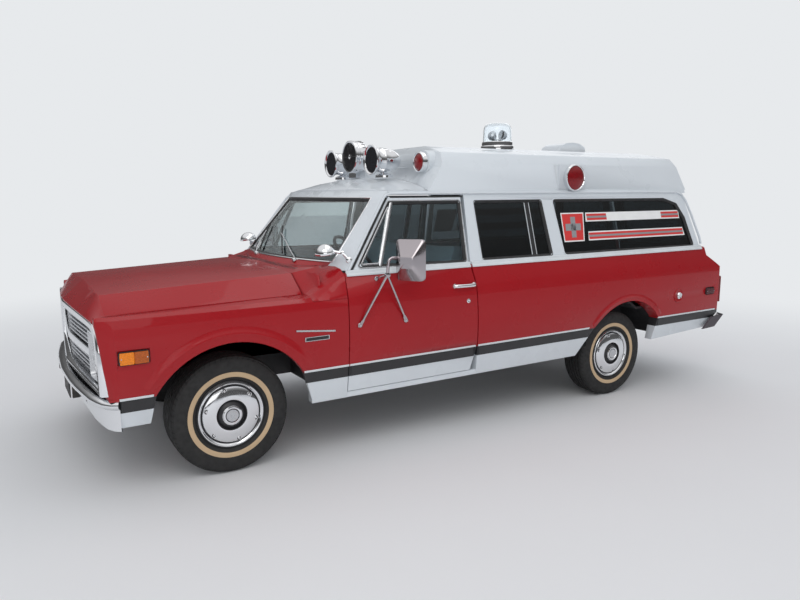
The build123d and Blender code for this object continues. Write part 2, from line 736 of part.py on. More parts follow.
with BuildPart() as rear_door_right:
    mirror(rear_door_left.part, about=Plane.XZ)
save(rear_door_right, "rear_door_right")

with BuildPart() as rear_glass_left:
    rear_sheet(16, 22, REAR_WINDOW, 40)
save(rear_glass_left, "rear_glass_left")

with BuildPart() as rear_glass_right:
    mirror(rear_glass_left.part, about=Plane.XZ)
save(rear_glass_right, "rear_glass_right")

# outside mirrors: three braces from pads on the door to a flat head
MIRROR_FOOT = (-1090.0, 1140.0, 1096.0)
MIRROR_HEAD = (-1090.0, 1150.0, 1215.0)
MIRROR_RIM = 16.0
MIRROR_BACK = 54.0
MIRROR_BRACES = [
    # foot x, foot y, foot z
    (-850, 966, 1110),
    (-822, 1004, 816),
    (-1152, 1004, 812),
]
with BuildPart() as mirror_left:
    for foot in MIRROR_BRACES:
        strut((foot[0], foot[1] + 10, foot[2]), MIRROR_FOOT, 7)
        block(foot[0] - 22, foot[0] + 22, foot[1], foot[1] + 14, foot[2] - 16, foot[2] + 16)
    head = Plane(MIRROR_HEAD, x_dir=(0.5, -0.866, 0), z_dir=(0.866, 0.5, 0))
    with BuildSketch(head.offset(-MIRROR_RIM)) as rim:
        Rectangle(196, 260)
    with BuildSketch(head.offset(4)) as shoulder:
        Rectangle(188, 252)
    with BuildSketch(head.offset(MIRROR_BACK)) as crown:
        Rectangle(100, 80)
    extrude(rim.sketch, amount=MIRROR_RIM)
    loft([shoulder.sketch, crown.sketch], ruled=True)
    extrude(shoulder.sketch, amount=-4)
save(mirror_left, "mirror_left")

with BuildPart() as mirror_right:
    mirror(mirror_left.part, about=Plane.XZ)
save(mirror_right, "mirror_right")

# lamps and siren on the roof
BULLET_Y = 350.0
BULLET_X = -1385.0
BULLET_Z = 1862.0
# profiles of (distance along the axis, radius)
FRONT_RED = [(-40, 0), (-40, 73), (14, 73), (24, 66), (34, 44), (39, 0)]
SIDE_RED = [(0, 0), (0, 102), (30, 102), (40, 92), (48, 60), (54, 0)]
BULLET = [(-135, 0), (-118, 34), (-58, 76), (-18, 86), (70, 90), (96, 104), (114, 102), (108, 60), (112, 0)]
SIREN_DRUM = [(-128, 0), (-120, 96), (-104, 114), (-12, 121), (0, 116), (-14, 104), (-14, 0)]
DOME = [
    (0, 0),
    (0, 160),
    (28, 158),
    (36, 134),
    (48, 125),
    (128, 123),
    (196, 96),
    (226, 34),
    (226, 0),
    (219, 0),
    (219, 32),
    (191, 91),
    (126, 117),
    (26, 117),
    (26, 0),
]
with BuildPart() as warning_lamps:
    for side in (1, -1):
        add(turned(FRONT_RED, (-1528, side * POD_Y, POD_Z), (1, 0, 0)))
        add(turned(SIDE_RED, (SIDE_LAMP_X, side * PAD_Y, SIDE_LAMP_Z), (0, side, 0)))
        add(turned(BULLET, (BULLET_X, side * BULLET_Y, BULLET_Z), (1, 0, 0)))
        rod(BULLET_X, side * BULLET_Y, 1765, 22, 70)
save(warning_lamps, "warning_lamps")

with BuildPart() as siren:
    add(turned(SIREN_DRUM, (-1272, 0, 1900), (1, 0, 0)))
    block(-1380, -1300, -60, 60, 1744, 1800)
save(siren, "siren")

BEACON_X = -2720.0
with BuildPart() as beacon_dome:
    add(turned(DOME, (BEACON_X, 0, CAP_CREST_Z), (0, 0, 1)))
save(beacon_dome, "beacon_dome")

with BuildPart() as beacon_rotor:
    rod(BEACON_X, 0, 2046, 60, 12)
    block(BEACON_X - 3, BEACON_X + 3, -90, 90, 2050, 2120)
    for side in (1, -1):
        rod(BEACON_X, side * 55, 2110, 42, 70, (0, 90, 0))
save(beacon_rotor, "beacon_rotor")

SPOT_SHELL = [(-56, 0), (-46, 32), (-14, 58), (18, 65), (26, 62), (30, 0)]
with BuildPart() as spot_lamps:
    for side in (1, -1):
        add(turned(SPOT_SHELL, (-694, side * 804, 1258), (-0.35, -0.1 * side, -0.93)))
        strut((-735, side * 830, 1262), (-793, side * 903, 1214), 9)
save(spot_lamps, "spot_lamps")

# marker and tail lamps
with BuildPart() as marker_lamps:
    for back, front, low, high in (FRONT_MARKER, REAR_MARKER):
        for side in (1, -1):
            block(back, front, side * MARKER_DEEP_Y, side * 1008, low, high)
save(marker_lamps, "marker_lamps")

TAIL_LENS = [(-4589, 934), (-4557, 961), (-4573, 980), (-4605, 953)]
with BuildPart() as tail_lamps:
    for side in (1, -1):
        plan_run([(x, side * y) for x, y in TAIL_LENS], 620, 860)
save(tail_lamps, "tail_lamps")

# cab fittings
COLUMN_TILT = radians(38)
WHEEL_HUB = (-1110.0, 380.0, 1164.0)
RIM_R = 215.0
RIM_GRIP = 12.0
COLUMN_AXIS = (-cos(COLUMN_TILT), 0, sin(COLUMN_TILT))
DASH = [(POST_X, 1100), (-780, 1120), (-930, 1110), (-950, 1060), (-900, 930), (POST_X, 930)]
with BuildPart() as dashboard:
    side_run(DASH, -850, 850)
    strut(
        tuple(h - 270 * a for h, a in zip(WHEEL_HUB, COLUMN_AXIS)),
        tuple(h - 34 * a for h, a in zip(WHEEL_HUB, COLUMN_AXIS)),
        24,
    )
save(dashboard, "dashboard")

with BuildPart() as rim:
    with BuildSketch(Plane.XZ):
        with Locations((RIM_R - RIM_GRIP, 0)):
            RegularPolygon(RIM_GRIP, 6)
    revolve(axis=Axis.Z)

with BuildPart() as steering_wheel:
    with Locations(Plane(WHEEL_HUB, z_dir=COLUMN_AXIS)):
        add(rim.part)
        Cylinder(36, 50)
        with PolarLocations(RIM_R / 2, 3, 90):
            Box(RIM_R - 30, 22, 12)
save(steering_wheel, "steering_wheel")

with BuildPart() as bench_seat:
    block(-1690, -1290, -640, 640, FLOOR_Z, 740)
    side_run([(-1270, 740), (-1270, 960), (-1690, 930), (-1690, 740)], -700, 700, radius=30)
    side_run([(-1692, 780), (-1692, 935), (-1762, 1250), (-1838, 1240), (-1800, 780)], -700, 700)
save(bench_seat, "bench_seat")

# engine and gearbox, plain blocks
with BuildPart() as engine_block:
    block(-460, 230, -240, 240, 575, 990)
save(engine_block, "engine_block")

# gearbox, propeller shaft, exhaust with silencer, and fuel tank
with BuildPart() as driveline:
    side_run([(-610, 548), (-610, 420), (-1150, 440), (-1150, 530)], -120, 120)
    strut((-1150, 0, 440), (-3040, 0, 335), 38)
    strut((-1250, 270, 400), (-2500, 270, 400), 26)
    strut((-1700, 270, 400), (-2250, 270, 400), 70)
    block(-4360, -3900, -330, 330, 400, 500)
save(driveline, "driveline")

# front suspension: cross member, towers and fixed arms to the kingpins
ARM_LEVELS = (246.0, 488.0)
with BuildPart() as front_suspension:
    block(-90, 90, -372, 372, 300, 400)
    for side in (1, -1):
        block(-60, 60, side * 372, side * 436, 237, 430)
        for height in ARM_LEVELS:
            block(-40, 40, side * 432, side * 706, height - 9, height + 9)
        block(-40, 40, side * 429, side * 436, 430, 497)
save(front_suspension, "front_suspension", GROUND)

# rear axle with leaf springs
AXLE_HOUSING = [(0, -150), (60, -140), (128, -55), (128, 55), (60, 140), (0, 150)]
with BuildPart() as rear_axle:
    rod(-WHEELBASE, 0, TYRE_R, 42, 2 * REAR_TRACK_Y - 140, (90, 0, 0))
    with BuildSketch(Plane.XY.offset(TYRE_R)):
        with BuildLine():
            Polyline(*[(a - WHEELBASE, y) for a, y in AXLE_HOUSING], close=True)
        make_face()
    revolve(axis=Axis((-WHEELBASE, 0, TYRE_R), (0, 1, 0)))
    for side in (1, -1):
        rod(-WHEELBASE, side * 772, TYRE_R, 24.95, 165, (90, 0, 0))
        rod(-WHEELBASE, side * (REAR_TRACK_Y - 66), TYRE_R, 148, 10, (90, 0, 0))
        block(-3900, -2600, side * 520, side * 584, 390, 425)
        block(-3900, -3870, side * 535, side * 569, 425, 560)
        block(-2630, -2600, side * 535, side * 569, 425, 520)
        block(-3280, -3172, side * 520, side * 584, 352, 390)
save(rear_axle, "rear_axle", GROUND)

for side, name in ((1, "left"), (-1, "right")):
    with BuildPart() as knuckle:
        rod(0, side * KINGPIN_Y, 367, 30, 206)
        rod(0, side * 780, TYRE_R, 24.95, 160, (90, 0, 0))
        rod(0, side * (FRONT_TRACK_Y - 66), TYRE_R, 140, 10, (90, 0, 0))
        block(-140, 0, side * 675, side * 700, 300, 330)
    save(knuckle, f"knuckle_{name}", GROUND)

# wheels: a tyre of many flats and a turned wheel
RIM_SEAT_R = 203.0
# bevels of the tyre's side wall, as (across, along the radius)
SHOULDER = (27, 52)
BEAD = (23, 37)
WHEEL_PROFILE = [
    # outboard distance, radius
    (92, 192),
    (104, 150),
    (116, 90),
    (120, 0),
    (60, 0),
    (60, 25),
    (-45, 25),
    (-45, 135),
    (20, 135),
    (20, 178),
    (-84, 178),
    (-84, 203),
    (84, 203),
    (92, 200),
]
TYRE_SIDES = 48
TURN_TO_FLAT = 180 / TYRE_SIDES
with BuildPart() as tyre:
    with BuildSketch(Plane.XZ.offset(-TYRE_WIDTH / 2)):
        RegularPolygon(TYRE_R, TYRE_SIDES, major_radius=False, rotation=TURN_TO_FLAT)
        RegularPolygon(RIM_SEAT_R, TYRE_SIDES, False, TURN_TO_FLAT, mode=Mode.SUBTRACT)
    extrude(amount=TYRE_WIDTH)
    for end in (0, -1):
        wall = tyre.faces().sort_by(Axis.Y)[end]
        chamfer(wall.outer_wire().edges(), SHOULDER[1], SHOULDER[0], reference=wall)
        wall = tyre.faces().sort_by(Axis.Y)[end]
        chamfer(wall.inner_wires()[0].edges(), BEAD[1], BEAD[0], reference=wall)

with BuildPart() as wheel:
    with BuildSketch(Plane.YZ):
        with BuildLine():
            Polyline(*WHEEL_PROFILE, close=True)
        make_face()
    revolve(axis=Axis.Y)

WHEEL_PLACES = [
    # name, station x, distance y, turn that faces the cap outwards
    ("front_left", 0, FRONT_TRACK_Y, 0),
    ("front_right", 0, -FRONT_TRACK_Y, 180),
    ("rear_left", -WHEELBASE, REAR_TRACK_Y, 0),
    ("rear_right", -WHEELBASE, -REAR_TRACK_Y, 180),
]
for name, x, y, turn in WHEEL_PLACES:
    place = GROUND * Location((x, y, TYRE_R), (0, 0, turn))
    save(tyre, f"tyre_{name}", place)
    save(wheel, f"wheel_{name}", place)
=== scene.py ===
import json
from math import atan2, cos, hypot, pi, radians, sin, sqrt

import bmesh
import bpy
from mathutils import Matrix, Vector

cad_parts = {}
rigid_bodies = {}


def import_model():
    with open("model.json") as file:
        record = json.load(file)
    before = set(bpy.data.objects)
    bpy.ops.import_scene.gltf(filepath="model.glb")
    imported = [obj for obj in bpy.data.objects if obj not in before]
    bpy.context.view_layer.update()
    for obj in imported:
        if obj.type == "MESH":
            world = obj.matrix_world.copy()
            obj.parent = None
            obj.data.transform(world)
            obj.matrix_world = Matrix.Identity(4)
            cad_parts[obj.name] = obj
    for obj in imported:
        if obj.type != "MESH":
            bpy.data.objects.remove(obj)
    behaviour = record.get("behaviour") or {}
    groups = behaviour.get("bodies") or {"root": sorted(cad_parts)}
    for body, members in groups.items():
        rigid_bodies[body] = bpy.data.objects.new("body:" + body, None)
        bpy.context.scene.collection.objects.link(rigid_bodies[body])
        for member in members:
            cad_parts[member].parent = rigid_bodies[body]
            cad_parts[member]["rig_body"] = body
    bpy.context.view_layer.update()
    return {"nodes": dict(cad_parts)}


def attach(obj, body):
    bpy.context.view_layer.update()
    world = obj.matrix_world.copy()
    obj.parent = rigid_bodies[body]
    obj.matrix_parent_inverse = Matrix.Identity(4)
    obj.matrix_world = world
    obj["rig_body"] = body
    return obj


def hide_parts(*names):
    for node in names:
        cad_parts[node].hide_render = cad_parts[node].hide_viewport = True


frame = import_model()
nodes = frame["nodes"]

# Millimetres counted from the front axle: BODY is the frame of the sprung body, which stands one degree
# tail up, and GROUND is the level frame of the wheels.
AXLE_X = 1935.5
RAKE = radians(1.0)
BODY = Matrix.Translation((AXLE_X / 1000, 0, 0)) @ Matrix.Rotation(RAKE, 4, "Y") @ Matrix.Scale(0.001, 4)
GROUND = Matrix.Translation((AXLE_X / 1000, 0, 0)) @ Matrix.Scale(0.001, 4)
WHEELBASE = 3226.0
TYRE_R = 352.0
SIDES = ((1, "left"), (-1, "right"))
BOTH = ("body", "body")
X_AXIS, Y_AXIS, Z_AXIS = (1, 0, 0), (0, 1, 0), (0, 0, 1)

# The leaning window wall: half width at the belt, the belt's height, and how fast it leans in.
WALL_Y, WALL_Z, WALL_LEAN = 940, 1138, 134 / 474

# Materials


class Shade:
    """A node tree built step by step: a material's, or the world's."""

    def __init__(self, owner):
        owner.use_nodes = True
        self.mat = owner
        self.tree = owner.node_tree
        self.tree.nodes.clear()

    def node(self, kind, inputs=(), **values):
        """A node with its settings, and its inputs set to values or linked to sockets."""
        made = self.tree.nodes.new("ShaderNode" + kind)
        for key, value in values.items():
            setattr(made, key, value)
        for key, value in dict(inputs).items():
            self.feed(made.inputs[key], value)
        return made

    def feed(self, slot, value):
        if isinstance(value, bpy.types.NodeSocket):
            self.tree.links.new(value, slot)
        else:
            slot.default_value = value

    def ramp(self, value, stops, interpolation="LINEAR"):
        """A colour ramp; a stop is (position, colour)."""
        made = self.node("ValToRGB", {"Fac": value})
        made.color_ramp.interpolation = interpolation
        while len(made.color_ramp.elements) < len(stops):
            made.color_ramp.elements.new(0.5)
        for element, (at, colour) in zip(made.color_ramp.elements, stops):
            element.position = at
            element.color = (*colour, 1)
        return made.outputs["Color"]

    def math(self, operation, *values):
        return self.node("Math", dict(enumerate(values)), operation=operation).outputs[0]


class Material(Shade):
    """A material with one principled shader."""

    def __init__(self, name):
        super().__init__(bpy.data.materials.new(name))
        self.bsdf = self.node("BsdfPrincipled")
        self.out = self.node("OutputMaterial", {"Surface": self.bsdf.outputs[0]})
        self.coord = self.node("TexCoord").outputs["Object"]
        self.last_bump = None

    def set(self, **values):
        for key, value in values.items():
            self.bsdf.inputs[key.replace("_", " ")].default_value = value

    def noise(self, scale, detail=3.0, stretch=(1, 1, 1), rough=0.5):
        place = self.node("Mapping", {"Scale": stretch, "Vector": self.coord})
        inputs = {"Scale": scale, "Detail": detail, "Roughness": rough, "Vector": place.outputs[0]}
        return self.node("TexNoise", inputs).outputs["Fac"]

    def axis(self, vector, shift=0.0):
        """A length along a direction of object space."""
        made = self.node("VectorMath", {0: self.coord, 1: vector}, operation="DOT_PRODUCT")
        return self.math("SUBTRACT", made.outputs["Value"], shift)

    def mix(self, factor, a, b, blend="MIX"):
        made = self.node("Mix", data_type="RGBA", blend_type=blend)
        for key, value in (("Factor", factor), ("A", a), ("B", b)):
            slot = [s for s in made.inputs if s.name == key and s.enabled][0]
            self.feed(slot, (*value, 1) if isinstance(value, tuple) else value)
        return [s for s in made.outputs if s.enabled][0]

    def colour(self, value):
        self.feed(self.bsdf.inputs["Base Color"], value)

    def roughness(self, value, low, high):
        inputs = {"From Min": 0.3, "From Max": 0.7, "To Min": low, "To Max": high, "Value": value}
        self.feed(self.bsdf.inputs["Roughness"], self.node("MapRange", inputs).outputs[0])

    def bump(self, height, strength, distance):
        made = self.node("Bump", {"Strength": strength, "Distance": distance, "Height": height})
        if self.last_bump:
            self.feed(made.inputs["Normal"], self.last_bump)
        self.last_bump = made.outputs[0]
        self.feed(self.bsdf.inputs["Normal"], self.last_bump)


UP = (sin(RAKE), 0.0, cos(RAKE))
LEVEL = AXLE_X / 1000 * sin(RAKE)
RED = (0.37, 0.009, 0.014)
WHITE = (0.71, 0.75, 0.785)
BLACK = (0.022, 0.023, 0.026)


def times(tone, share):
    """A darker or lighter tone."""
    return tuple(c * share for c in tone)


def paint(name, bands):
    """Gloss paint in level bands: a list of (height from, colour), with a little grime low down."""
    s = Material(name)
    height = s.axis(UP, LEVEL)
    base = s.ramp(s.math("DIVIDE", height, 2.5), [(z / 2.5, colour) for z, colour in bands], "CONSTANT")
    drift = s.noise(1.3, 2.0)
    faded = s.mix(1.0, base, (0.86, 0.86, 0.88), "MULTIPLY")
    base = s.mix(s.ramp(drift, [(0.35, (0, 0, 0)), (0.7, (0.35, 0.35, 0.35))]), base, faded)
    low = s.node("MapRange", {"From Min": 0.72, "From Max": 0.34, "Value": height})
    grime = s.math("MULTIPLY", s.math("MULTIPLY", low.outputs[0], s.noise(9.0, 5.0)), 0.12)
    s.colour(s.mix(grime, base, (0.34, 0.33, 0.32)))
    s.roughness(s.noise(5.0, 4.0), 0.24, 0.36)
    s.set(Specular_IOR_Level=0.15, Coat_Weight=0.38, Coat_Roughness=0.03, Coat_IOR=1.5)
    s.bump(s.noise(1.6, 1.0), 0.06, 0.008)
    return s.mat


def chrome(name, tone=(0.86, 0.87, 0.89), low=0.035, high=0.12):
    s = Material(name)
    s.colour(s.mix(s.noise(7.0, 4.0), tone, times(tone, 0.93)))
    s.set(Metallic=1.0)
    s.roughness(s.noise(16.0, 5.0), low, high)
    s.bump(s.noise(60.0, 3.0), 0.04, 0.0008)
    return s.mat


def plastic(name, tone, low=0.35, high=0.55, grain=700.0, depth=0.0004):
    s = Material(name)
    s.colour(s.mix(s.noise(11.0, 4.0), tone, tuple(min(1, c * 1.25 + 0.004) for c in tone)))
    s.roughness(s.noise(24.0, 4.0), low, high)
    s.bump(s.noise(grain, 2.0), 0.25, depth)
    return s.mat


def rubber(name, tone=(0.018, 0.018, 0.019)):
    s = Material(name)
    s.colour(s.mix(s.noise(14.0, 6.0), tone, times(tone, 2.2)))
    s.roughness(s.noise(30.0, 5.0), 0.55, 0.8)
    s.bump(s.noise(900.0, 2.0), 0.3, 0.0004)
    return s.mat


def tread(name):
    """Tyre rubber with cross cuts in its blocks, counted around the axle; the cuts are painted darker,
    painted shade in the grooves.
    """
    s = Material(name)
    split = s.node("SeparateXYZ", {0: s.coord})
    x, z = split.outputs["X"], split.outputs["Z"]
    turn = s.math("ARCTAN2", z, x)
    slant = s.math("MULTIPLY", s.math("ABSOLUTE", split.outputs["Y"]), 3.0)
    wave = s.math("SINE", s.math("MULTIPLY", s.math("ADD", turn, slant), 64.0))
    cut = s.math("GREATER_THAN", wave, 0.72)
    radius = s.math("SQRT", s.math("ADD", s.math("MULTIPLY", x, x), s.math("MULTIPLY", z, z)))
    outer = s.math("GREATER_THAN", radius, 0.331)
    depth = s.math("MULTIPLY", cut, outer)
    base = s.mix(s.noise(12.0, 6.0), (0.010, 0.010, 0.011), (0.030, 0.029, 0.028))
    # Painted shade: the cuts are darkened towards black.
    s.colour(s.mix(s.math("MULTIPLY", depth, 0.75), base, (0.004, 0.004, 0.004)))
    s.roughness(s.noise(30.0, 5.0), 0.6, 0.85)
    s.bump(s.math("SUBTRACT", 1.0, depth), 0.9, 0.004)
    ring = s.math("SINE", s.math("MULTIPLY", radius, 900.0))
    s.bump(ring, 0.10, 0.0006)
    return s.mat


def glass(name, tone):
    s = Material(name)
    s.colour(s.mix(s.noise(3.0, 3.0), tone, times(tone, 0.94)))
    s.set(Transmission_Weight=1.0, IOR=1.45)
    s.roughness(s.noise(6.0, 4.0), 0.0, 0.02)
    s.bump(s.noise(1.5, 1.0), 0.03, 0.002)
    return s.mat


def lens(name, tone, glow=0.04):
    """A moulded lamp lens with fluting; it glows in its own colour, painted light, with no lamp lit behind
    it.
    """
    s = Material(name)
    wave = s.node("TexVoronoi", {"Scale": 130.0, "Vector": s.coord})
    s.colour(s.mix(wave.outputs["Distance"], tone, times(tone, 0.55)))
    # Emission is painted glow: the unlit lens shines its own colour.
    s.set(Coat_Weight=0.5, Coat_Roughness=0.03, Specular_IOR_Level=0.25, Emission_Strength=glow)
    s.bsdf.inputs["Emission Color"].default_value = (*tone, 1)
    s.roughness(s.noise(20.0, 3.0), 0.12, 0.25)
    s.bump(wave.outputs["Distance"], 0.5, 0.002)
    return s.mat


def cloth(name, tone):
    """Ribbed vinyl and woven seat cloth."""
    s = Material(name)
    weave = s.node("TexWave", {"Scale": 120.0, "Distortion": 0.6, "Vector": s.coord}, wave_type="BANDS",
                   bands_direction="Y")
    cross = s.node("TexWave", {"Scale": 160.0, "Vector": s.coord}, wave_type="BANDS", bands_direction="X")
    both = s.math("MULTIPLY", weave.outputs["Fac"], cross.outputs["Fac"])
    s.colour(s.mix(s.noise(6.0, 5.0), tone, times(tone, 0.8)))
    s.set(Sheen_Weight=0.25, Sheen_Roughness=0.5)
    s.roughness(s.noise(18.0, 4.0), 0.5, 0.7)
    s.bump(both, 0.35, 0.001)
    s.bump(s.noise(8.0, 3.0), 0.3, 0.006)
    return s.mat


def iron(name, tone=(0.03, 0.03, 0.032), dust=(0.10, 0.085, 0.07)):
    """Chassis paint with road dust."""
    s = Material(name)
    patches = s.ramp(s.noise(8.0, 8.0, rough=0.7), [(0.4, (0, 0, 0)), (0.75, (0.8, 0.8, 0.8))])
    s.colour(s.mix(patches, tone, dust))
    s.set(Metallic=0.25)
    s.roughness(s.noise(22.0, 5.0), 0.45, 0.8)
    s.bump(s.noise(90.0, 5.0), 0.3, 0.0015)
    return s.mat


LOOKS = {
    "red": paint("paint_red", [(0, RED)]),
    "white": paint("paint_white", [(0, WHITE)]),
    "skin": paint("paint_two_tone", [(0, WHITE), (0.486, BLACK), (0.553, RED), (1.138, WHITE)]),
    "black": plastic("satin_black", (0.02, 0.02, 0.022), 0.3, 0.45),
    "chrome": chrome("chrome"),
    # A darker copy of chrome: painted dim reflection for the mirror backs.
    "warm_chrome": chrome("warm_chrome", (0.52, 0.48, 0.50), 0.05, 0.12),
    # A near-black copy of chrome: painted dark reflection for the rear bumper's ends.
    "dark_reflection_chrome": chrome("dull_chrome", (0.075, 0.062, 0.072), 0.10, 0.20),
    "silver": chrome("brushed_silver", (0.62, 0.63, 0.65), 0.22, 0.34),
    "bright": plastic("bright_trim", (0.60, 0.63, 0.65), 0.18, 0.28, 60.0, 0.0002),
    # Near-black gloss in place of clear lens glass: painted dark reflection for the bullet lamps.
    "dark_lens": plastic("dark_lens", (0.012, 0.013, 0.016), 0.04, 0.08, 30.0, 0.0002),
    "rubber": rubber("rubber"),
    "tread": tread("tyre_rubber"),
    "band": plastic("tan_side_wall", (0.50, 0.36, 0.22), 0.55, 0.75, 400.0),
    "glass": glass("window_glass", (0.52, 0.60, 0.62)),
    "tint": glass("dark_window_glass", (0.07, 0.09, 0.10)),
    "smoky": glass("smoky_dome", (0.74, 0.77, 0.79)),
    "screen": glass("windshield_glass", (0.80, 0.87, 0.86)),
    "clear": glass("clear_glass", (0.93, 0.95, 0.96)),
    "red_lens": lens("red_lens", (0.26, 0.004, 0.008)),
    "dark_red_lens": lens("dark_red_lens", (0.085, 0.002, 0.005), 0.0),
    "amber_lens": lens("amber_lens", (0.80, 0.22, 0.006), 0.22),
    # A darker copy of the amber lens: painted shade for the front marker's rear lens.
    "shaded_amber_lens": lens("amber_reflector", (0.48, 0.10, 0.006), 0.12),
    "seat": cloth("seat_cloth", (0.50, 0.66, 0.76)),
    "trim": plastic("trim_blue_grey", (0.10, 0.16, 0.20), 0.4, 0.6, 300.0, 0.001),
    "dark": plastic("dark_plastic", (0.018, 0.018, 0.020), 0.4, 0.6),
    "liner": plastic("headliner", (0.55, 0.56, 0.56), 0.6, 0.8, 260.0, 0.001),
    "iron": iron("chassis_black"),
    "cast": iron("cast_iron_grey", (0.11, 0.11, 0.11), (0.2, 0.17, 0.14)),
    "sign_red": plastic("sign_red", (0.60, 0.03, 0.028), 0.3, 0.45),
    "sign_white": plastic("sign_white", (0.78, 0.78, 0.77), 0.3, 0.45),
    "sign_grey": plastic("sign_grey", (0.26, 0.26, 0.27), 0.3, 0.45),
}

# Building tools


def finish_mesh(bm, name, body, mats, place=BODY, smooth=32.0, slot=None, replaces=(), bevel=None):
    """Turn a mesh in millimetres into a piece that rides on a body."""
    bmesh.ops.recalc_face_normals(bm, faces=bm.faces)
    mesh = bpy.data.meshes.new(name)
    bm.to_mesh(mesh)
    bm.free()
    mesh.transform(place)
    obj = bpy.data.objects.new(name, mesh)
    bpy.context.scene.collection.objects.link(obj)
    for mat in mats if isinstance(mats, (list, tuple)) else [mats]:
        mesh.materials.append(LOOKS[mat])
    if bevel:
        made = obj.modifiers.new("edge", "BEVEL")
        made.width = bevel / 1000
        made.segments = 3
        made.limit_method = "ANGLE"
        made.angle_limit = radians(28)
    mesh.shade_smooth()
    mesh.set_sharp_from_angle(angle=radians(smooth))
    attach(obj, body)
    if replaces:
        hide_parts(*replaces)
    return obj


def grid_into(bm, rows, close_rows=False, close_columns=False, caps=True, index=0):
    """Quads between rows of points, all rows equally long."""
    verts = [[bm.verts.new(p) for p in row] for row in rows]
    count, width = len(verts), len(verts[0])
    for i in range(count if close_rows else count - 1):
        for j in range(width if close_columns else width - 1):
            a, b = verts[i], verts[(i + 1) % count]
            quad = [a[j], a[(j + 1) % width], b[(j + 1) % width], b[j]]
            bm.faces.new(quad).material_index = index(i, j) if callable(index) else index
    if caps and close_columns and not close_rows:
        bm.faces.new(verts[0]).material_index = index(0, 0) if callable(index) else index
        bm.faces.new(verts[-1][::-1]).material_index = index(0, 0) if callable(index) else index


def bar_into(bm, rows, index=0):
    """A closed bar: each row is a ring around it, and its ends are capped."""
    grid_into(bm, rows, close_columns=True, index=index)


def box_into(bm, low, high, index=0):
    verts = [bm.verts.new((x, y, z)) for x in (low[0], high[0]) for y in (low[1], high[1])
             for z in (low[2], high[2])]
    for quad in ((0, 1, 3, 2), (4, 6, 7, 5), (0, 4, 5, 1), (2, 3, 7, 6), (0, 2, 6, 4), (1, 5, 7, 3)):
        bm.faces.new([verts[k] for k in quad]).material_index = index


def turned_into(bm, profile, centre, axis, segments=48, index=0, close=False):
    """A profile of (distance along the axis, radius) turned about it."""
    axis = Vector(axis).normalized()
    side = axis.cross(Vector((0, 0, 1)) if abs(axis.z) < 0.9 else Vector((1, 0, 0))).normalized()
    up = axis.cross(side)
    rows = []
    for along, radius in profile:
        ring = []
        for k in range(segments):
            a = 2 * pi * k / segments
            ring.append(Vector(centre) + axis * along + (side * cos(a) + up * sin(a)) * max(radius, 0.02))
        rows.append(ring)
    pick = (lambda i, j: index[min(i, len(index) - 1)]) if isinstance(index, (list, tuple)) else index
    grid_into(bm, rows, close_rows=close, close_columns=True, caps=not close, index=pick)


def tube_into(bm, points, radius, segments=12, index=0):
    """A round bar through points."""
    points = [Vector(p) for p in points]
    rows = []
    for k, point in enumerate(points):
        ahead = heading(points, k)
        side = ahead.cross(Vector((0, 0, 1)) if abs(ahead.z) < 0.9 else Vector((1, 0, 0))).normalized()
        up = ahead.cross(side)
        turns = [2 * pi * j / segments for j in range(segments)]
        rows.append([point + (side * cos(a) + up * sin(a)) * radius for a in turns])
    bar_into(bm, rows, index=index)


def piece(name, body, mats, build, *args, **options):
    """A piece made by one building function."""
    bm = bmesh.new()
    build(bm, *args)
    return finish_mesh(bm, name, body, mats, **options)


def mirrored_piece(name, build, bodies, mats, **options):
    """The same piece on both sides: build(bm, side) with side 1 for the left and -1 for the right."""
    return [piece(f"{name}_{tag}", body, mats, build, side, **options)
            for body, (side, tag) in zip(bodies, SIDES)]


def clamp(value):
    return max(0.0, min(1.0, value))


def heading(path, k):
    """Direction of a line of points at one of them."""
    return (path[min(k + 1, len(path) - 1)] - path[max(k - 1, 0)]).normalized()


def shrunk(outline, middle, share):
    """An outline drawn in towards a point."""
    return [middle + (v - middle) * share for v in outline]


def circle_through(a, b, c):
    """Centre and radius of the circle through three points of a plane."""
    d = 2 * (a[0] * (b[1] - c[1]) + b[0] * (c[1] - a[1]) + c[0] * (a[1] - b[1]))
    sq = [p[0] ** 2 + p[1] ** 2 for p in (a, b, c)]
    x = (sq[0] * (b[1] - c[1]) + sq[1] * (c[1] - a[1]) + sq[2] * (a[1] - b[1])) / d
    y = (sq[0] * (c[0] - b[0]) + sq[1] * (a[0] - c[0]) + sq[2] * (b[0] - a[0])) / d
    return x, y, hypot(a[0] - x, a[1] - y)


SKIN = circle_through((984, 565), (1000, 815), (990, 985))


def wall_y(z):
    return WALL_Y - (z - WALL_Z) * WALL_LEAN


def skin_y(z):
    """Half width of the body's outside at a height."""
    if z < 565:
        return 950 + (z - 348) * 34 / 217
    if z < 985:
        return SKIN[0] + sqrt(SKIN[2] ** 2 - (z - SKIN[1]) ** 2)
    if z < 1130:
        return 990 - (z - 985) * 38 / 145
    if z < 1138:
        return 952 - (z - 1130) * 1.5
    return wall_y(z)


def rounded(points, radius, steps=6):
    """A closed outline with its corners rounded."""
    out = []
    count = len(points)
    for k in range(count):
        before, corner, after = (Vector(points[(k + d) % count]) for d in (-1, 0, 1))
        a, b = (before - corner).normalized(), (after - corner).normalized()
        half = a.angle(b) / 2
        room = 0.45 * min((before - corner).length, (after - corner).length)
        cut = min(radius / max(abs(sin(half) / cos(half)), 0.2), room)
        start, end = corner + a * cut, corner + b * cut
        for j in range(steps + 1):
            t = j / steps
            out.append((1 - t) ** 2 * start + 2 * t * (1 - t) * corner + t * t * end)
    return out


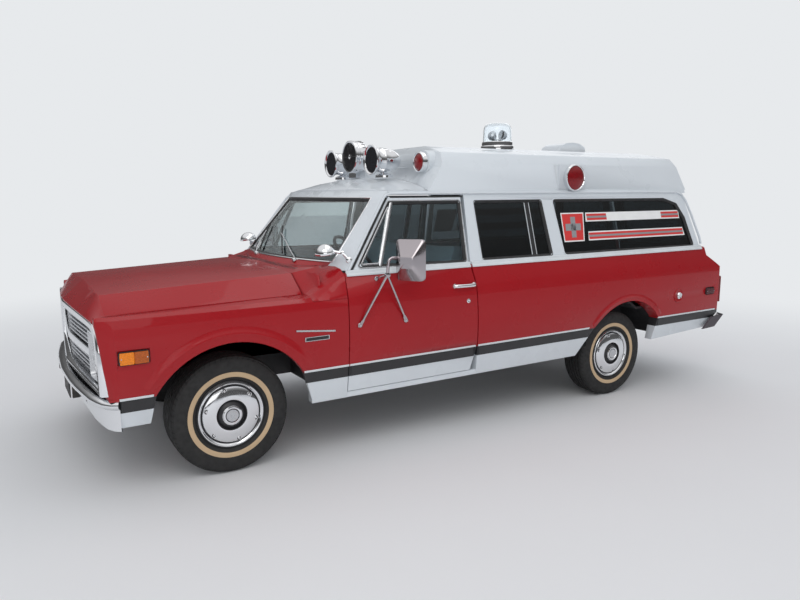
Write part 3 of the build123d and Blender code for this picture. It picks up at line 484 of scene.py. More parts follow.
def loop_into(bm, outline, profile, surface, index=0):
    """A closed bead around an outline; its profile is (offset outwards, height), surface gives the points."""
    count = len(outline)
    doubled = sum(a[0] * b[1] - b[0] * a[1] for a, b in zip(outline, outline[1:] + outline[:1]))
    sense = 1 if doubled > 0 else -1
    rows = []
    for k in range(count):
        ahead = (outline[(k + 1) % count] - outline[k - 1]).normalized()
        out = Vector((ahead.y, -ahead.x)) * sense
        rows.append([surface(*(outline[k] + out * o), h) for o, h in profile])
    grid_into(bm, rows, close_rows=True, close_columns=True, index=index)


def on_side(side):
    """Side-view outlines onto the leaning window wall."""
    return lambda x, z, h: Vector((x, side * (wall_y(z) + h * 0.962), z + h * 0.272))


def moulding_into(bm, side, x0, x1, profile, slant0=0.0, slant1=0.0, index=0):
    """A strip along the body side; the profile is (height z, how far it stands off the skin)."""
    count = max(2, int(abs(x1 - x0) / 300) + 1)
    foot = profile[0][0]
    rows = []
    for k in range(count + 1):
        t = k / count
        row = []
        for z, h in profile:
            x = (x0 + slant0 * (z - foot)) * (1 - t) + (x1 + slant1 * (z - foot)) * t
            row.append((x, side * (skin_y(z) + h), z))
        rows.append(row)
    bar_into(bm, rows, index=index)


def soften(name, rules, mats, pick=None, move=None, cuts=()):
    """A copy of a CAD node with its edges rolled.

    A rule is (test of an edge's middle in body mm, width in mm). The copy is cut at the stations in cuts,
    its points are shifted by move, and pick chooses a face's material from its centre and normal.
    """
    bm = bmesh.new()
    bm.from_mesh(nodes[name].data)
    bm.transform(BODY.inverted())
    bmesh.ops.remove_doubles(bm, verts=bm.verts, dist=0.05)
    bmesh.ops.dissolve_limit(bm, angle_limit=radians(1.2), verts=bm.verts, edges=bm.edges)
    for width_pass in sorted({w for _, w in rules}, reverse=True):
        chosen = []
        for edge in bm.edges:
            if len(edge.link_faces) != 2 or edge.calc_face_angle(0) < radians(18):
                continue
            middle = (edge.verts[0].co + edge.verts[1].co) / 2
            width = next((w for test, w in rules if test(middle)), 0)
            if width == width_pass and edge.calc_length() > width * 0.8:
                chosen.append(edge)
        if chosen:
            bmesh.ops.bevel(bm, geom=chosen, offset=width_pass, segments=3, profile=0.5, affect="EDGES",
                            clamp_overlap=True)
            bmesh.ops.remove_doubles(bm, verts=bm.verts, dist=0.02)
    bmesh.ops.triangulate(bm, faces=[f for f in bm.faces if len(f.verts) > 4])
    for x in cuts:
        everything = bm.verts[:] + bm.edges[:] + bm.faces[:]
        bmesh.ops.bisect_plane(bm, geom=everything, plane_co=(x, 0, 0), plane_no=X_AXIS, dist=0.01)
    if move:
        for v in bm.verts:
            v.co = move(v.co)
    bm.normal_update()
    if pick:
        for face in bm.faces:
            face.material_index = pick(face.calc_center_median(), face.normal)
    return finish_mesh(bm, f"{name}_skin", nodes[name]["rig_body"], mats, smooth=30.0, replaces=(name,))

# Body panels


def outside(p, normal):
    """Picks the trim for a wall's faces that look inwards, and dark paint below the floor."""
    if normal.y * p.y < -0.45 * abs(p.y) and abs(p.y) < skin_y(p.z) - 8:
        return 1 if p.z > 560 else 2
    return 0


# The hood's front slope begins here, and the hood is this wide on each side; its crease runs inside that.
SLOPE_X, HOOD_Y, CREASE_Y = 628, 832, 652


def slope_z(t, y):
    """Height of the hood's front slope; t runs from 0 at its top to 1 at its foot."""
    middle, crease, seam = 1102 - 130 * t, 1080 - 208 * t, 992 - 112 * t
    if y < CREASE_Y:
        return middle + (crease - middle) * y / CREASE_Y
    return crease + (seam - crease) * (y - CREASE_Y) / (HOOD_Y - CREASE_Y)


def hood_lip(p):
    """Straightens the hood's front lip and brings it up to the grille frame, most on the left."""
    if p.x <= SLOPE_X:
        return p
    y = min(abs(p.y), HOOD_Y)
    edge = 752 - 84 * (y / HOOD_Y) ** 2
    t = (p.x - SLOPE_X) / 137
    share = min(1.0, (p.x - SLOPE_X) / (edge - SLOPE_X))
    lift = 990 - 24 * y / HOOD_Y - slope_z((edge - SLOPE_X) / 137, y)
    if p.z < slope_z(t, y) - 4:
        lift += 20 - 20 * t
    ahead = (bow(y) - 4 - edge) * (1.0 if p.y > 0 else 0.2)
    return Vector((p.x + share * ahead, p.y, p.z + share * lift))


def fender_nose(p):
    """Brings the fender's front edge up to the grille frame, most on the left, and rounds it in plan."""
    if p.x <= 560 or p.z < 560:
        return p
    u = (p.x - 560) / 95
    lean = (2 + 36 * clamp((p.z - 610) / 330)) * (1.0 if p.y > 0 else 0.15)
    turn = 34 * max(0.0, u - 0.35) ** 2 / 0.42 * clamp((abs(p.y) - 870) / 95)
    return Vector((p.x + lean * u ** 3, p.y * (1 - turn / max(abs(p.y), 1)), p.z))


def bow(y):
    """Station of the grille surround's face at a half width."""
    return 759 - 64 * min(1.0, abs(y) / 900) ** 1.15


def every(width):
    """The rule that rolls all edges alike."""
    return [(lambda p: True, width)]


LEFT_DOOR, RIGHT_DOOR, SIDE_DOOR = "front_door_left", "front_door_right", "side_door_right"
DOORS = (LEFT_DOOR, RIGHT_DOOR)
for name in (*DOORS, SIDE_DOOR, "body_side_left", "body_side_right"):
    soften(name, every(2.5), ["skin", "trim", "dark"], pick=outside)
for _, tag in SIDES:
    soften(f"rear_door_{tag}", every(2.5), ["skin", "trim"], pick=lambda p, n: int(n.x > 0.5 and p.z < 1120))
fender_rules = [(lambda p: p.x > 650, 3), (lambda p: 830 < abs(p.y) < 985 and p.z > 975, 14)] + every(2.5)
for _, tag in SIDES:
    soften(f"fender_{tag}", fender_rules, ["skin", "dark"], pick=lambda p, n: int(outside(p, n) > 0),
           move=fender_nose, cuts=(600, 612, 622, 631, 639, 645, 650))


def cowl_side(p):
    """Sinks the cowl's outer corners a little, under the smooth corner pieces."""
    crest = 677 + 85 * (-505 - p.x) / 230
    return p - Vector((0, 0, 7)) if abs(p.y) > crest and p.z > 990 else p


def upper_look(p, n):
    """Red for the windshield's foot, the headliner for faces that look inwards or down, white outside."""
    if p.z < 1206 and p.x > -760 and abs(p.y) < 780:
        return 2
    inwards = n.y * p.y < -0.45 * abs(p.y) and abs(p.y) < skin_y(min(p.z, 1612)) - 25
    return 1 if inwards or n.z < -0.7 else 0


def cap_edge(p):
    """The roof cap's upper edges and its ends, on both sides."""
    return (p.z > 1850 or p.x < -4120 or p.x > -1700) and p.z > 1650 and abs(p.y) > 560


soften("cowl", every(3), "red", move=cowl_side)
soften("hood", [(lambda p: 600 < abs(p.y) < 700 and p.z > 1000, 9),
                (lambda p: 615 < p.x < 640, 9)] + every(3), "red", move=hood_lip)
soften("upper_body", [(lambda p: p.z > 1644 and p.x > -1300, 12)] + every(2.5), ["white", "liner", "red"],
       pick=upper_look)
soften("roof_cap", [(cap_edge, 10)] + every(4), ["white", "liner"], pick=lambda p, n: int(n.z < -0.7))
soften("rear_sill", every(3), "white")


def bumper_end(p):
    """The rear blade's ends sweep forward towards their lower edge."""
    share = clamp((abs(p.y) - 780) / 150)
    return Vector((p.x + share * (1.25 * (500 - p.z) - 14), p.y, p.z))


# The bumper's ends take the near-black chrome, a painted dark reflection.
soften("rear_bumper", every(4), ["chrome", "dark_reflection_chrome"],
       pick=lambda p, n: int(abs(p.y) > 880), move=bumper_end)

# The front valance is coated near black in place of its red paint: painted shade under the grille.
PLAIN = {"chassis_frame": "iron", "floor_pan": "dark", "radiator": "black", "engine_block": "cast",
         "driveline": "iron", "front_suspension": "iron", "rear_axle": "iron", "knuckle_left": "cast",
         "knuckle_right": "cast", "dashboard": "dark", "steering_wheel": "dark", "door_glass_left": "glass",
         "door_glass_right": "glass", "side_door_glass": "tint", "rear_glass_left": "tint",
         "rear_glass_right": "tint", "beacon_rotor": "chrome", "front_valance": "dark"}


def coat(name, *looks):
    nodes[name].data.materials.clear()
    for look in looks:
        nodes[name].data.materials.append(LOOKS[look])


for name, look in PLAIN.items():
    coat(name, look)
coat("fixed_glass", "screen", "tint")
for face in nodes["fixed_glass"].data.polygons:
    face.material_index = int((BODY.inverted() @ nodes["fixed_glass"].matrix_world @ face.center).x < -1750)

# Trim along the sides

LINE = [(556, -2), (556.5, 3.5), (559, 5), (567, 5), (569.5, 3.5), (570, -2)]
BAND = [(489, -2), (490, 3), (553, 3), (554, -2)]
BELT = [(1117, -4), (1118, 7), (1121, 9), (1129, 9), (1132, 9.5), (1134, 11), (1137, 11), (1139, 12),
        (1150, 12), (1154, 9), (1155, -4)]
LOW_RUNS = [
    # front end, rear end, lean of each end in x per unit of height, bodies on the left and the right
    (606, 437, 0.0, 0.2, "body", "body"),
    (-437, -737, -0.25, 0.0, "body", "body"),
    (-745, -1736, 0.0, -0.25, LEFT_DOOR, RIGHT_DOOR),
    (-1758, -2862, 0.0, 0.55, "body", None),
    (-1758, -1798, 0.0, 0.0, None, "body"),
    (-1809, -2590, 0.0, 0.0, None, SIDE_DOOR),
    (-2603, -2862, 0.0, 0.55, None, "body"),
    (-3700, -4490, 0.0, 0.0, "body", "body"),
]
for k, (front, rear, lean0, lean1, *bodies) in enumerate(LOW_RUNS):
    for body, (side, tag) in zip(bodies, SIDES):
        if body:
            piece(f"lower_line_{k}_{tag}", body, "bright", moulding_into, side, front, rear, LINE, -lean0,
                  -lean1, smooth=40, slot="chrome")
            piece(f"lower_band_{k}_{tag}", body, "black", moulding_into, side, front - 10, rear + 10, BAND,
                  -lean0, -lean1, smooth=40, slot="black_paint")
BELT_RUNS = [
    # front end, rear end, bodies on the left and the right
    (-748, -1706, LEFT_DOOR, RIGHT_DOOR),
    (-1722, -4285, "body", None),
    (-1722, -1796, None, "body"),
    (-1811, -2558, None, SIDE_DOOR),
    (-2576, -4285, None, "body"),
]
for k, (front, rear, *bodies) in enumerate(BELT_RUNS):
    for body, (side, tag) in zip(bodies, SIDES):
        if body:
            piece(f"belt_{k}_{tag}", body, "bright", moulding_into, side, front, rear, BELT,
                  smooth=25, slot="chrome")


def drip(bm, side):
    """The drip rail from the windshield post over the doors and down the rear post."""
    path = [(-770, 938, 1154), (-858, 908, 1272), (-946, 872, 1392), (-1086, 824, 1584), (-1112, 813, 1612),
            (-1150, 811, 1622)] + [(x, 811, 1624) for x in range(-1300, -4000, -300)]
    path += [(-4080, 811, 1620), (-4150, 818, 1600), (-4188, 835, 1545), (-4230, 868, 1430),
             (-4280, 930, 1225), (-4288, 942, 1165)]
    path = [Vector(point) for point in path]
    out = Vector((0, 1, 0.15)).normalized()
    rows = []
    for k, point in enumerate(path):
        across = heading(path, k).cross(out).normalized()
        rows.append([point + out * a + across * b
                     for a, b in ((-9, -6), (5, -7), (9, -3), (9, 3), (5, 7), (-9, 6))])
    bar_into(bm, [[(p.x, side * p.y, p.z) for p in row] for row in rows])


mirrored_piece("drip_rail", drip, BOTH, "white", smooth=40, slot="white_paint")

# Windows

DOOR_GLASS = rounded([(-840, 1168), (-1682, 1156), (-1706, 1568), (-1131, 1568)], 14)
SECOND_GLASS = rounded([(-1830, 1160), (-2500, 1158), (-2472, 1568), (-1830, 1568)], 14)
THIRD_GLASS = rounded([(-2630, 1158), (-4198, 1152), (-4140, 1400), (-4063, 1520),
                       (-3900, 1566), (-2592, 1568)], 26)
GASKET = [(1, -20), (-15, -15), (-15, -12), (-6, -3), (0, 2), (7, 2.5), (9, 1), (9, -2), (1, -3)]
BEAD = [(4, 0), (4, 3), (6, 5), (9, 5), (11, 3), (11, 0)]
VENT = rounded([(-868, 1182), (-1001, 1182), (-1138, 1556)], 10)


def pane_trim(name, outline, bodies, surface=on_side, bead="silver"):
    """The rubber and the bead around a window, on both sides."""
    for body, (side, tag) in zip(bodies, SIDES):
        piece(f"{name}_gasket_{tag}", body, "rubber", loop_into, outline, GASKET, surface(side),
              smooth=50, slot="dark_plastic")
        piece(f"{name}_bead_{tag}", body, bead, loop_into, outline, BEAD, surface(side),
              smooth=50, slot="chrome")


pane_trim("front_window", DOOR_GLASS, DOORS)
pane_trim("second_window", SECOND_GLASS, ("body", SIDE_DOOR), bead="white")
pane_trim("third_window", THIRD_GLASS, BOTH, bead="white")


def vent_frame(bm, side):
    """The frame of the front door's corner window, and the bar behind it."""
    put = on_side(side)
    loop_into(bm, VENT, [(-6, -15), (-6, -6), (-3, -4), (4, -4), (6, -6), (6, -15)], put)
    ring = ((-11, -16), (-11, -3), (-6, 1), (6, 1), (11, -3), (11, -16))
    bar_into(bm, [[put(x + dx, z + dx * 0.25, h) for dx, h in ring]
                  for x, z in ((-1004, 1166), (-1157, 1572))])


mirrored_piece("vent_frame", vent_frame, DOORS, "silver", smooth=50, slot="chrome")


def second_divider(bm, side):
    """The upright bar in the second window, with a bright edge on each side."""
    put = on_side(side)
    for x0, x1, h0, index in ((-22, 22, -13, 0), (-24, -19, -12, 1), (19, 24, -12, 1)):
        rows = [[put(-2333 + dx, z, h) for dx, h in ((x0, -24), (x0, h0), (x1, h0), (x1, -24))]
                for z in (1160, 1566)]
        bar_into(bm, rows, index=index)


mirrored_piece("window_divider", second_divider, ("body", SIDE_DOOR), ["dark", "bright"], smooth=40,
               slot="dark_plastic")


def flat_patch(bm, corners, height, side, index=0, steps=8):
    """A thin patch just outside the leaning glass: corners are (x, z) in ring order."""
    put = on_side(side)
    a, b, c, d = (Vector(p) for p in corners)
    rows = []
    for k in range(steps + 1):
        t = k / steps
        low, high = d.lerp(c, t), a.lerp(b, t)
        ring = ((low, height - 0.6), (low, height), (high, height), (high, height - 0.6))
        rows.append([put(q.x, q.y, h) for q, h in ring])
    bar_into(bm, rows, index=index)


def window_sign(bm, side):
    """The printed square with its cross, and two striped bands.

    Layer 0 is the white ground, 1 the red on it and 2 the grey on the red, each a little further out.
    """
    def patch(layer, *corners):
        flat_patch(bm, corners, (-14.6, -14.0, -13.4)[layer], side, layer)

    patch(0, (-2666, 1470), (-2916, 1470), (-2878, 1249), (-2660, 1249))
    patch(1, (-2676, 1461), (-2905, 1461), (-2869, 1258), (-2670, 1258))
    patch(2, (-2762, 1438), (-2814, 1438), (-2797, 1280), (-2748, 1280))
    patch(2, (-2699, 1386), (-2865, 1386), (-2857, 1333), (-2694, 1333))
    for top, foot, far_top, far_foot in ((1468, 1398, 4092, 4090), (1321, 1251, 4106, 4122)):
        patch(0, (-2936, top), (-far_top, top), (-far_foot, foot), (-2926, foot))
    for layer, drop, tall in ((1, 0, 50), (2, 17, 16)):
        for top, near, far in ((1458, 2944, 3170), (1458, 3850, 4082), (1311, 2936, 4104)):
            high, low = top - drop, top - drop - tall
            patch(layer, (-near, high), (-far, high), (-far, low), (-near, low))


mirrored_piece("window_sign", window_sign, BOTH, ["sign_white", "sign_red", "sign_grey"], smooth=20,
               slot="white_paint")


def door_seal(bm, side):
    """Dark rubber along the top edge of the front door's window frame."""
    flat_patch(bm, [(-1142, 1603), (-1738, 1603), (-1738, 1594), (-1149, 1594)], 1.4, side)


mirrored_piece("door_seal", door_seal, DOORS, "rubber", smooth=20, slot="dark_plastic")


def post_seal(bm, side):
    """Dark rubber behind the drip rail on the windshield post."""
    flat_patch(bm, [(-779, 1147), (-1112, 1600), (-1124, 1592), (-793, 1142)], 1.5, side)


mirrored_piece("post_seal", post_seal, BOTH, "rubber", smooth=20, slot="dark_plastic")


def cowl_corner(bm, side):
    """The painted corner that rises from the fender to the foot of the windshield post."""
    ahead = [(988, 986), (900, 1004), (838, 1014), (665, 1128)]
    behind = [(988, 986), (955, 1120), (900, 1158), (750, 1180)]
    rows = []
    for k in range(17):
        t = k / 16
        half = [Vector((a[0] + (b[0] - a[0]) * t, a[1] + (b[1] - a[1]) * t + 2))
                for a, b in zip(ahead, behind)]
        fine = [a.lerp(b, u / 4) for a, b in zip(half, half[1:]) for u in range(4)] + [half[-1]]
        ring = fine + [v - Vector((3, 4)) for v in reversed(fine)]
        rows.append([(-507 - 227 * t, side * v.x, v.y) for v in ring])
    bar_into(bm, rows)


mirrored_piece("cowl_corner", cowl_corner, BOTH, "red", smooth=75, slot="red_paint")

# The windshield's opening in z, and its outside at two heights: middle and corner in x, and half its width
GLASS_LOW, GLASS_HIGH = 1200, 1588
FOOT = dict(z=1150, centre=-553, corner=-765, y=936)
TOP = dict(z=1640, centre=-1045, corner=-1125, y=797)


def screen_at(z, share, depth=0.0):
    """A point of the windshield's outside at a height; share runs from -1 to 1 across the glass opening."""
    t = (z - FOOT["z"]) / (TOP["z"] - FOOT["z"])
    level = {key: FOOT[key] + t * (TOP[key] - FOOT[key]) for key in FOOT}
    pillar = 150 - 38 * (z - GLASS_LOW) / (GLASS_HIGH - GLASS_LOW)
    y = level["y"] - pillar
    end = level["centre"] + (level["corner"] - level["centre"]) * (y / level["y"]) ** 2
    cx, _, radius = circle_through((end, -y), (level["centre"], 0), (end, y))
    angle = share * atan2(y, end - cx)
    normal = Vector((0.71 * cos(angle), 0.71 * sin(angle), 0.704))
    return Vector((cx + radius * cos(angle), radius * sin(angle), z)) + normal * depth


def screen_loop(bm, profile):
    """A closed bead around the windshield's opening; the profile is (offset outwards, height)."""
    low, high = GLASS_LOW, GLASS_HIGH
    ring = [(high, 1 - 2 * k / 24) for k in range(25)]
    ring += [(high - (high - low) * k / 12, -1) for k in range(1, 12)]
    ring += [(low, -1 + 2 * k / 24) for k in range(25)]
    ring += [(low + (high - low) * k / 12, 1) for k in range(1, 12)]
    centre = screen_at((low + high) / 2, 0)
    points = [screen_at(z, share) for z, share in ring]
    rows = []
    for k, (z, share) in enumerate(ring):
        ahead = (points[(k + 1) % len(points)] - points[k - 1]).normalized()
        normal = (screen_at(z, share, 1) - points[k]).normalized()
        out = ahead.cross(normal).normalized()
        if out.dot(points[k] - centre) < 0:
            out = -out
        rows.append([points[k] + out * o + normal * h for o, h in profile])
    grid_into(bm, rows, close_rows=True, close_columns=True)


piece("windshield_gasket", "body", "rubber", screen_loop,
      [(-16, -16), (-16, -10), (-6, -1), (4, 2), (10, 2), (12, -3)], smooth=50, slot="dark_plastic")
piece("windshield_bead", "body", "chrome", screen_loop,
      [(4, -1), (4, 3.5), (7, 6), (13, 6), (16, 3.5), (16, -1)], smooth=50, slot="chrome")

# The rear doors' windows
REAR_WINDOW = rounded([(112, 1190), (770, 1190), (684, 1555), (112, 1555)], 40)


def on_rear(side):
    """Outlines seen from behind onto the leaning rear doors."""
    return lambda y, z, h: Vector((-4350 + (z - 1130) * 142 / 473 - h * 0.958, side * y, z + h * 0.288))


pane_trim("rear_window", REAR_WINDOW, ("rear_door_left", "rear_door_right"), on_rear)

# Wheel arches


def arch_path(front_top, apex, rear_top):
    """Points along the arc of a wheel opening."""
    steps = 22
    cx, cz, radius = circle_through(front_top, apex, rear_top)
    a0, a1 = atan2(front_top[1] - cz, front_top[0] - cx), atan2(rear_top[1] - cz, rear_top[0] - cx)
    if a1 < a0:
        a1 += 2 * pi
    turns = [a0 + (a1 - a0) * k / steps for k in range(steps + 1)]
    return [Vector((cx + radius * cos(a), cz + radius * sin(a))) for a in turns]


ARCHES = {
    # three points of the arc, and how wide the flare is
    "front": ((419, 565), (-60, 800), (-433, 565), 1.0),
    "rear": ((-2932, 561), (-3330, 742), (-3702, 565), 0.62),
}
FLARE = [(-1, -14), (-1, 4), (2, 7.5), (8, 8.5), (38, 8.5), (46, 12), (52, 12), (60, 8), (74, 2.5), (88, 0.2),
         (88, -14)]


def arch_flare(front_top, apex, rear_top, narrow):
    """The rolled lip around a wheel opening, faded out at its two ends."""
    def build(bm, side):
        arc = arch_path(front_top, apex, rear_top)
        rows = []
        for k, p in enumerate(arc):
            ahead = heading(arc, k)
            out = Vector((ahead.y, -ahead.x))
            if out.y < 0:
                out = -out
            fade = min(1.0, k / 3 + 0.35, (len(arc) - 1 - k) / 3 + 0.35)
            row = []
            for o, h in FLARE:
                q = p + out * o * narrow
                z = min(max(q.y, 350), 980)
                row.append((q.x, side * (skin_y(z) + (h * fade if h > 0 else h)), q.y))
            rows.append(row)
        bar_into(bm, rows)
    return build


for which, arch in ARCHES.items():
    mirrored_piece(f"{which}_arch_flare", arch_flare(*arch), BOTH, "red", smooth=35, slot="red_paint")


def wheel_liner(bm, side):
    """Dark splash walls inboard of the wheels, and a shell over each rear wheel."""
    box_into(bm, (-560, side * 470, 430), (560, side * 476, 930))
    box_into(bm, (-560, side * 470, 430), (-554, side * 940, 800))
    box_into(bm, (-3790, side * 560, 430), (-2840, side * 566, 760))
    arc = [(-3330 + 455 * cos(a), 352 + 420 * sin(a))
           for a in [pi * (0.04 + 0.92 * k / 16) for k in range(17)]]
    rows = [[(x, side * y, z + d) for y, d in ((566, 0), (945, 0), (945, 4), (566, 4))] for x, z in arc]
    bar_into(bm, rows)


mirrored_piece("wheel_liner", wheel_liner, BOTH, "dark", smooth=40, slot="dark_plastic")

# Wheels

# Half the tyre's outline and the wheel's front and back, as (distance along the axle, radius)
TYRE = [(84, 203), (96, 214), (102, 227), (103, 228), (104.5, 240), (105, 255), (104, 256),
        (107, 275), (107, 290), (104, 312), (100, 326), (96, 336), (92, 340), (92.5, 344), (84, 349),
        (72, 351), (66, 351), (64, 343), (56, 343), (54, 351.6), (36, 352), (34, 343), (26, 343),
        (24, 352), (8, 352), (6, 343)]
WHEEL = [(80, 203), (90, 203), (93, 199), (92, 195), (94, 193.5), (95, 188), (92, 182), (86, 178), (84, 173),
         (89, 168), (93, 166), (97, 158), (101, 140), (105, 118), (107, 100), (106, 92), (102, 88), (90, 86),
         (90, 84), (104, 70), (112, 58), (113, 55), (116, 54), (118, 50), (117, 42), (113, 39), (113, 37),
         (116, 36), (116, 0)]
WHEEL_BACK = [(60, 0), (60, 25), (-45, 25), (-45, 135), (20, 135), (20, 178), (-84, 178), (-84, 203)]
CORNERS = [
    # name, station x, distance y, side
    ("front_left", 0, 805, 1),
    ("front_right", 0, -805, -1),
    ("rear_left", -WHEELBASE, 800, 1),
    ("rear_right", -WHEELBASE, -800, -1),
]


def wheel(bm):
    """The dished wheel with its hub cap and six nuts; lip and grooves are black, the cap's middle silver."""
    profile = WHEEL + WHEEL_BACK
    shade = []
    for k in range(len(profile)):
        dark = k < 3 or k in (7, 8, 15, 16, 17, 18, 19, 25, 26) or k >= len(WHEEL) - 1
        shade.append(1 if dark else 2 if k >= 27 else 0)
    turned_into(bm, profile, (0, 0, 0), Y_AXIS, 72, shade, close=True)
    for k in range(6):
        a = 2 * pi * (k + 0.25) / 6
        centre = (152 * cos(a), 93, 152 * sin(a))
        turned_into(bm, [(0, 15), (6.5, 15), (6.8, 13.5), (6.0, 12)], centre, Y_AXIS, 20, 0)
        turned_into(bm, [(0, 12), (6.2, 12), (6.2, 7)], centre, Y_AXIS, 20, 1)
        turned_into(bm, [(0, 7), (9, 7), (11, 4), (11.5, 0)], centre, Y_AXIS, 16, 0)


for name, x, y, side in CORNERS:
    place = GROUND @ Matrix.Translation((x, y, TYRE_R)) @ Matrix.Diagonal((1, side, 1, 1))
    hub = Vector(((AXLE_X + x) / 1000, y / 1000, TYRE_R / 1000))
    outline = TYRE + [(-a, r) for a, r in reversed(TYRE)]
    band = [1 if k in (2, 3, 4, 5) else 0 for k in range(len(outline))]
    tyre = piece(f"road_tyre_{name}", f"wheel_{name}", ["tread", "band"], turned_into, outline, (0, 0, 0),
                 Y_AXIS, 112, band, True, place=place, smooth=38, slot="tyre", replaces=(f"tyre_{name}",))
    tyre.data.transform(Matrix.Translation(-hub))
    tyre.matrix_world = Matrix.Translation(hub)
    piece(f"road_wheel_{name}", f"wheel_{name}", ["chrome", "black", "silver"], wheel, place=place, smooth=35,
          slot="chrome", replaces=(f"wheel_{name}",))

# Nose

# Half the frame's outer and inner edge seen from ahead, as (y, z), from the foot to the middle
SURROUND_OUT = [(955, 583), (952, 700), (946, 800), (939, 850), (932, 885), (920, 915),
                (902, 938), (875, 953), (832, 960), (740, 965), (652, 969), (520, 972),
                (400, 975), (260, 978), (130, 980), (0, 981)]
SURROUND_IN = [(893, 612), (891, 700), (886, 800), (880, 836), (874, 856), (864, 876), (850, 894), (834, 906),
               (812, 916), (740, 924), (652, 928), (520, 932), (400, 934), (260, 936), (130, 938), (0, 939)]


def surround(bm):
    """A bright frame swept up one post, across the top and down the other, with a rail along its foot."""
    pairs = [(Vector(a), Vector(b)) for a, b in zip(SURROUND_OUT, SURROUND_IN)]
    pairs += [(Vector((-a.x, a.y)), Vector((-b.x, b.y))) for a, b in reversed(pairs[:-1])]
    section = ((0, -64), (0, -30), (0.05, -9), (0.16, 0), (0.84, 0), (0.95, -6), (1, -24), (1, -60))
    rows = []
    for a, b in pairs:
        deep = 1.0 if abs(a.x) > 870 else 0.5
        ring = [(a.lerp(b, u), h * deep) for u, h in section]
        rows.append([(bow(q.x) + h, q.x, q.y) for q, h in ring])
    bar_into(bm, rows)
    rail = ((584, -50), (584, -9), (588, -2), (594, 0), (608, 0), (614, -5), (618, -22), (618, -50))
    stations = [-925 + 1850 * k / 36 for k in range(37)]
    bar_into(bm, [[(bow(y) + h, y, z) for z, h in rail] for y in stations])


piece("grille_surround", "body", "chrome", surround, smooth=35, slot="chrome", replaces=("grille",))


def cross_bars(bm):
    """Ten thin bars, a broad bright one among them, and thin uprights behind."""
    section = ((-26, -1), (-4, -1), (0, -0.7), (0, 0.7), (-4, 1), (-26, 1))
    for z in (645, 670, 695, 720, 760, 800, 825, 850, 875, 900, 925):
        half, front, index, reach = (24, -22, 1, 640) if z == 760 else (5, -36, 0, 622)
        stations = [-reach + 2 * reach * k / 14 for k in range(15)]
        bar_into(bm, [[(bow(y) + front + d, y, z + e * half) for d, e in section] for y in stations], index)
    for k in range(33):
        y = -608 + 38 * k
        box_into(bm, (bow(y) - 74, y - 2.5, 612), (bow(y) - 52, y + 2.5, 940), 0)


# A black sheet behind the bars: painted shade in the grille's opening.
def grille_shade_sheet(bm):
    ring = ((-78, 600), (-78, 950), (-84, 950), (-84, 600))
    bar_into(bm, [[(bow(y) + d, y, z) for d, z in ring] for y in range(-900, 901, 100)])


piece("grille_bars", "body", ["silver", "chrome"], cross_bars, smooth=35, slot="chrome")
piece("grille_shade_sheet", "body", "black", grille_shade_sheet, smooth=35, slot="black_paint")


def lamp_house(bm, side):
    """The square lamp panel, which steps back towards the headlamp."""
    y0 = side * 760
    outline = rounded([(-128, -132), (-128, 132), (126, 126), (126, -132)], 22, 4)
    rows = []
    for depth, shrink in ((-4, 1.0), (0, 0.985), (0, 0.93), (-20, 0.90), (-44, 0.86)):
        rows.append([(bow(y0 + side * v.x * shrink) - 20 + depth, y0 + side * v.x * shrink,
                      762 + v.y * shrink) for v in outline])
    grid_into(bm, rows, close_columns=True, caps=False, index=lambda i, j: 0 if i < 2 else 1)


for lamp_panel in mirrored_piece("lamp_house", lamp_house, BOTH, ["bright", "silver"],
                                 smooth=35, slot="chrome"):
    lamp_panel.modifiers.new("sheet", "SOLIDIFY").thickness = 0.003
HEADLAMP_RING = [(-30, 60), (-6, 100), (8, 104), (14, 101), (14, 92), (6, 90), (-6, 88), (-24, 60)]
HEADLAMP_BOWL = [(-28, 0), (-27, 30), (-18, 62), (2, 88)]
HEADLAMP_LENS = [(4, 90), (12, 80), (19, 55), (23, 25), (24, 0), (21, 0), (20, 25),
                 (16, 55), (9, 78), (1, 88)]
for side, tag in SIDES:
    centre = (bow(760) - 44, side * 752, 762)
    ring = piece(f"headlamp_ring_{tag}", "body", "chrome", turned_into, HEADLAMP_RING, centre, X_AXIS, 56, 0,
                 True, smooth=40, slot="chrome")
    if side == 1:
        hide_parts("headlamps")
    piece(f"headlamp_bowl_{tag}", "body", "silver", turned_into, HEADLAMP_BOWL, centre, X_AXIS, smooth=60,
          slot="chrome")
    piece(f"headlamp_lens_{tag}", "body", "clear", turned_into, HEADLAMP_LENS, centre, X_AXIS, smooth=60,
          slot="glass")

# Half the front bumper's face from above, as (x, y), and the height of its foot along y
BUMPER = [(796, 0), (790, 200), (784, 350), (772, 500), (758, 620), (734, 800), (712, 880), (688, 940),
          (652, 982), (618, 1000)]
BUMPER_FOOT = [(0, 488), (350, 478), (500, 466), (700, 440), (830, 418), (920, 396), (1000, 386)]


def foot_z(y):
    """Height of the front bumper's foot at a half width."""
    for (a, za), (b, zb) in zip(BUMPER_FOOT, BUMPER_FOOT[1:]):
        if y <= b:
            return za + (zb - za) * (y - a) / (b - a)
    return BUMPER_FOOT[-1][1]


